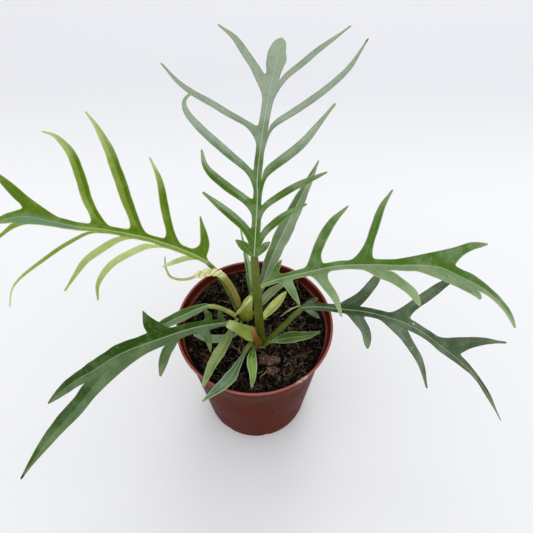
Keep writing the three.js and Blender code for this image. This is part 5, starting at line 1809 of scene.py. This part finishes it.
def strew(tree, given, shape, density, turns, sizes, tints):
    """Copies of a shape on the soil's upward faces, turned, sized and tinted at random."""
    seed = given["Seed"]
    upright = tree.split(tree.add("GeometryNodeInputNormal").outputs[0])[2]
    upward = tree.add("FunctionNodeCompare", {0: upright, 1: 0.35},
                      data_type="FLOAT", operation="GREATER_THAN")
    spots = tree.add("GeometryNodeDistributePointsOnFaces",
                     {"Mesh": given["Geometry"], "Selection": upward.outputs[0],
                      "Density": density, "Seed": seed})
    copies = tree.add("GeometryNodeInstanceOnPoints",
                      {"Points": spots.outputs[0], "Instance": shape,
                       "Rotation": random_vector(tree, *turns, seed),
                       "Scale": random_vector(tree, *sizes, seed)})
    tinted = tree.add("GeometryNodeStoreNamedAttribute",
                      {"Geometry": copies.outputs[0], "Name": "tint",
                       "Value": random_number(tree, *tints, seed)},
                      data_type="FLOAT", domain="INSTANCE")
    return realize(tree, tinted.outputs[0])


def noise_push(tree, scale, reach, lift=0.0):
    """A vector of up to half the reach that depends on the place, and a steady lift."""
    cloud = tree.add("ShaderNodeTexNoise", {"Scale": scale, "Detail": 2.0})
    push = cloud.outputs["Color"]
    for operation, by in (("SUBTRACT", (0.5, 0.5, 0.5)), ("MULTIPLY", reach),
                          ("ADD", (0, 0, lift))):
        push = tree.add("ShaderNodeVectorMath", {0: push, 1: by}, operation=operation).outputs[0]
    return push


def keep_inside(tree, geometry):
    """Pulls points that stick through the pot's leaning wall back to its inner side."""
    x, y, z, radius = tree.split(here(tree))
    limit = tree.plus(tree.times(z, WALL_LEAN), WALL_FOOT * MM)
    share = tree.math("DIVIDE", limit, tree.math("MAXIMUM", radius, MM))
    pull = tree.minus(tree.math("MINIMUM", share, 1.0), 1.0)
    return shift(tree, geometry, vector(tree, tree.times(x, pull), tree.times(y, pull)))


# %% Crumb tree
def build_crumbs():
    tree, given, result = geometry_group("crumbs", {
        "Density": "Float", "Crumb Radius": "Float", "Detail": "Int", "Seed": "Int",
        "Dent": "Float", "Peat": "Material"})
    ball = tree.add("GeometryNodeMeshIcoSphere",
                    {"Radius": given["Crumb Radius"], "Subdivisions": given["Detail"]})
    crumbs = strew(tree, given, ball.outputs[0], given["Density"],
                   ((0, 0, 0), (6.28, 6.28, 6.28)), ((0.5, 0.5, 0.3), (1.7, 1.3, 0.9)),
                   (0.0, 1.0))
    reach = vector(tree, given["Dent"], given["Dent"], given["Dent"])
    dented = shift(tree, crumbs, noise_push(tree, 600.0, reach))
    return close_shape(tree, result, keep_inside(tree, dented), given["Peat"])


# %% Fibre tree
def build_fibres():
    tree, given, result = geometry_group("fibres", {
        "Density": "Float", "Length": "Float", "Thickness": "Float", "Seed": "Int",
        "Bend": "Float", "Peat": "Material"})
    ends = [vector(tree, tree.times(given["Length"], share)) for share in (-0.5, 0.5)]
    line = tree.add("GeometryNodeCurvePrimitiveLine", {"Start": ends[0], "End": ends[1]})
    clumps = tree.step(tree.noise(here(tree), 75.0), 0.38, 0.62, 0.25, 1.6)
    fibres = strew(tree, given, line.outputs[0], tree.times(given["Density"], clumps),
                   ((-0.25, -0.25, 0), (0.25, 0.25, 6.28)), ((0.4, 1, 1), (1.6, 1, 1)),
                   (0.3, 1.0))
    fine = tree.add("GeometryNodeResampleCurve", {"Curve": fibres, "Count": 9})
    reach = vector(tree, given["Bend"], given["Bend"], tree.times(given["Bend"], 0.35))
    bent = shift(tree, fine.outputs[0], noise_push(tree, 190.0, reach, 0.45 * MM))
    ring = tree.add("GeometryNodeCurvePrimitiveCircle",
                    {"Resolution": 4, "Radius": given["Thickness"]})
    strands = tree.add("GeometryNodeCurveToMesh",
                       {"Curve": keep_inside(tree, bent), "Profile Curve": ring.outputs[0],
                        "Fill Caps": True})
    return close_shape(tree, result, strands.outputs[0], given["Peat"])


# %% Loose soil
SHOWN_ABOVE, SHOWN_GAP = 100, 1.2


def scatter_ground():
    """The part of the soil that shows, as an open grid for the scatter trees."""
    points, faces, _ = soil_shell()
    edge = SOIL_EDGE - SHOWN_GAP + WALL_LEAN * (points[:, 2] - SOIL_LEVEL)
    inner = (points[:, 2] > SHOWN_ABOVE) & (np.hypot(points[:, 0], points[:, 1]) < edge)
    shown = [face for face in faces if all(inner[i] for i in face)]
    mesh = bpy.data.meshes.new("ground")
    mesh.from_pydata((points * MM).tolist(), [], shown)
    return mesh


ground = scatter_ground()
crumb_tree, fibre_tree = build_crumbs(), build_fibres()
crumb_peat = peat_material("crumbs", "030302", "18120d", "786450", 0.7)
fibre_peat = peat_material("fibres", "30251c", "78654f", "c8ba9e", 1.0)
CRUMBS = {        # number on a square metre, radius, fineness, seed, depth of the dents
    "soil_crumbs_small": (300000.0, 0.7, 1, 3, 0.9),
    "soil_crumbs_large": (55000.0, 1.5, 2, 11, 1.8),
}
FIBRES = {        # number on a square metre, length, thickness, seed, bend
    "soil_fibres_fine": (150000.0, 7.0, 0.11, 5, 7.0),
    "soil_fibres_thick": (18000.0, 13.0, 0.20, 8, 11.0),
}
for loose_name, (density, radius, detail, seed, dent) in CRUMBS.items():
    place_piece(loose_name, run_tree(loose_name, ground, crumb_tree, {
        "Density": density, "Crumb Radius": radius * MM, "Detail": detail, "Seed": seed,
        "Dent": dent * MM, "Peat": crumb_peat}))
for loose_name, (density, length, thickness, seed, bend) in FIBRES.items():
    place_piece(loose_name, run_tree(loose_name, ground, fibre_tree, {
        "Density": density, "Length": length * MM, "Thickness": thickness * MM, "Seed": seed,
        "Bend": bend * MM, "Peat": fibre_peat}))

# %% [markdown]
# ## Bark chips
#
# Two chips of composted bark lie at the front of the pot. Each is grown from the outline
# of its solid: rings of points step in from the outline to the middle, and the height
# of the top face is broken into flakes by rounding a noise to a few levels.

# %% Bark chips
CHIPS = {
    "bark_front": {
        "outline": [[3, -29], [9, -30], [15, -29], [19, -28], [20, -24], [15, -22], [8, -22],
                    [3, -24]],
        "foot": 104.6, "top": 109,
    },
    "bark_small": {
        "outline": [[10, -37], [14, -39], [17, -36], [20, -33], [17, -31.6], [11, -31],
                    [8, -33]],
        "foot": 104.4, "top": 108.4,
    },
}
CHIP_RINGS, CHIP_SECTORS = 14, 96


def chip_shell(chip):
    """A flaky chip, from rings that step in from its torn outline."""
    outline = np.array(chip["outline"] + chip["outline"][:1], float)
    walked = np.concatenate([[0], np.cumsum(np.linalg.norm(np.diff(outline, axis=0), axis=1))])
    s = np.linspace(0, walked[-1], CHIP_SECTORS + 1)[:-1]
    edge = np.stack([np.interp(s, walked, outline[:, i]) for i in range(2)], -1)
    middle = edge.mean(0)
    torn = np.array([noise.noise((x / 1.8, y / 1.8, 4.0)) * 1.5
                     + noise.noise((x / 0.6, y / 0.6, 6.0)) * 0.5 for x, y in edge])
    edge = edge + unit(edge - middle) * torn[:, None]
    jag = np.array([noise.noise((x, y, 7.0)) * 0.6 for x, y in edge])
    foot = edge + unit(edge - middle) * jag[:, None] * 0.3
    rows = [np.column_stack([foot, np.full(CHIP_SECTORS, chip["foot"])])]
    for i in range(CHIP_RINGS + 1):
        share = 1 - i / CHIP_RINGS
        flat = middle + (edge - middle) * share
        z = []
        for x, y in flat:
            flake = noise.noise((x / 3.0, y / 1.2, chip["top"])) * 3.0
            level = round(flake) * 0.35 + noise.noise((x / 0.7, y / 0.7, 2.0)) * 0.25
            z.append(chip["top"] - 0.5 + level - 0.7 * (share > 0.97))
        rows.append(np.column_stack([flat, z]))
    points = np.vstack(rows)
    faces = band_faces(CHIP_RINGS + 1, CHIP_SECTORS) + [list(range(CHIP_SECTORS))[::-1]]
    tint = np.array([0.75 + 0.5 * noise.noise((x / 2.5, y / 0.8, z / 0.8)) for x, y, z in points])
    # the chip's sides and rim get a dark tint: painted shade along its edges
    tint[:2 * CHIP_SECTORS] = 0.4
    return points, faces, {"tint": np.clip(tint, 0, 1)}


bark = peat_material("bark", "160f0b", "6a5042", "ae937d", 1.0)
for chip_name, chip in CHIPS.items():
    make_piece(chip_name + "_fine", [(*chip_shell(chip), 0)], [bark], node=chip_name,
               sharp=35)

# %% [markdown]
# ## Small things that tell of use
#
# A curl of pale green fibre lies in front of the chips, and specks of peat have dried
# on the outside of the pot. They are set one by one where the picture shows them.

# %% Small finds
CURL = [[4, -41, 106.5], [5, -39, 107.6], [7, -37.5, 107.8], [9, -35, 107.6], [9.5, -33.5, 106.8]]
curl_shell = tube(Curve(CURL), [(0, 0.35), (0.5, 0.6), (1, 0.3)], 10, crumpled, 0.4)
curl_skin = stalk_material("pale fibre", ("7d8458", "8f9468", "a3a47c"), specks=0.2)
make_piece("fibre_curl", [(*curl_shell, 0)], [curl_skin])

WALL_SLOPE = 0.1137
# angle round the pot in degrees, height and size in millimetres
WALL_SPECKS = [(-74, 62, 1.2), (-126, 47, 0.9), (-142, 31, 0.8), (-36, 47, 0.9), (-98, 20, 0.5)]


def speck_shell(angle, height, size):
    """A small dented grain pressed on the outer wall."""
    a, radius = math.radians(angle), FOOT_RADIUS + height * WALL_SLOPE
    centre = np.array([radius * math.cos(a), radius * math.sin(a), height])
    side = np.array([-math.sin(a), math.cos(a), 0.3]) * size
    line = Curve([centre - side, centre, centre + side])
    return tube(line, [(0, 0.2), (0.5, 0.4 * size), (1, 0.2)], 10, crumpled, 0.3)


make_piece("wall_specks", [(*speck_shell(*speck), 0) for speck in WALL_SPECKS], [peat])
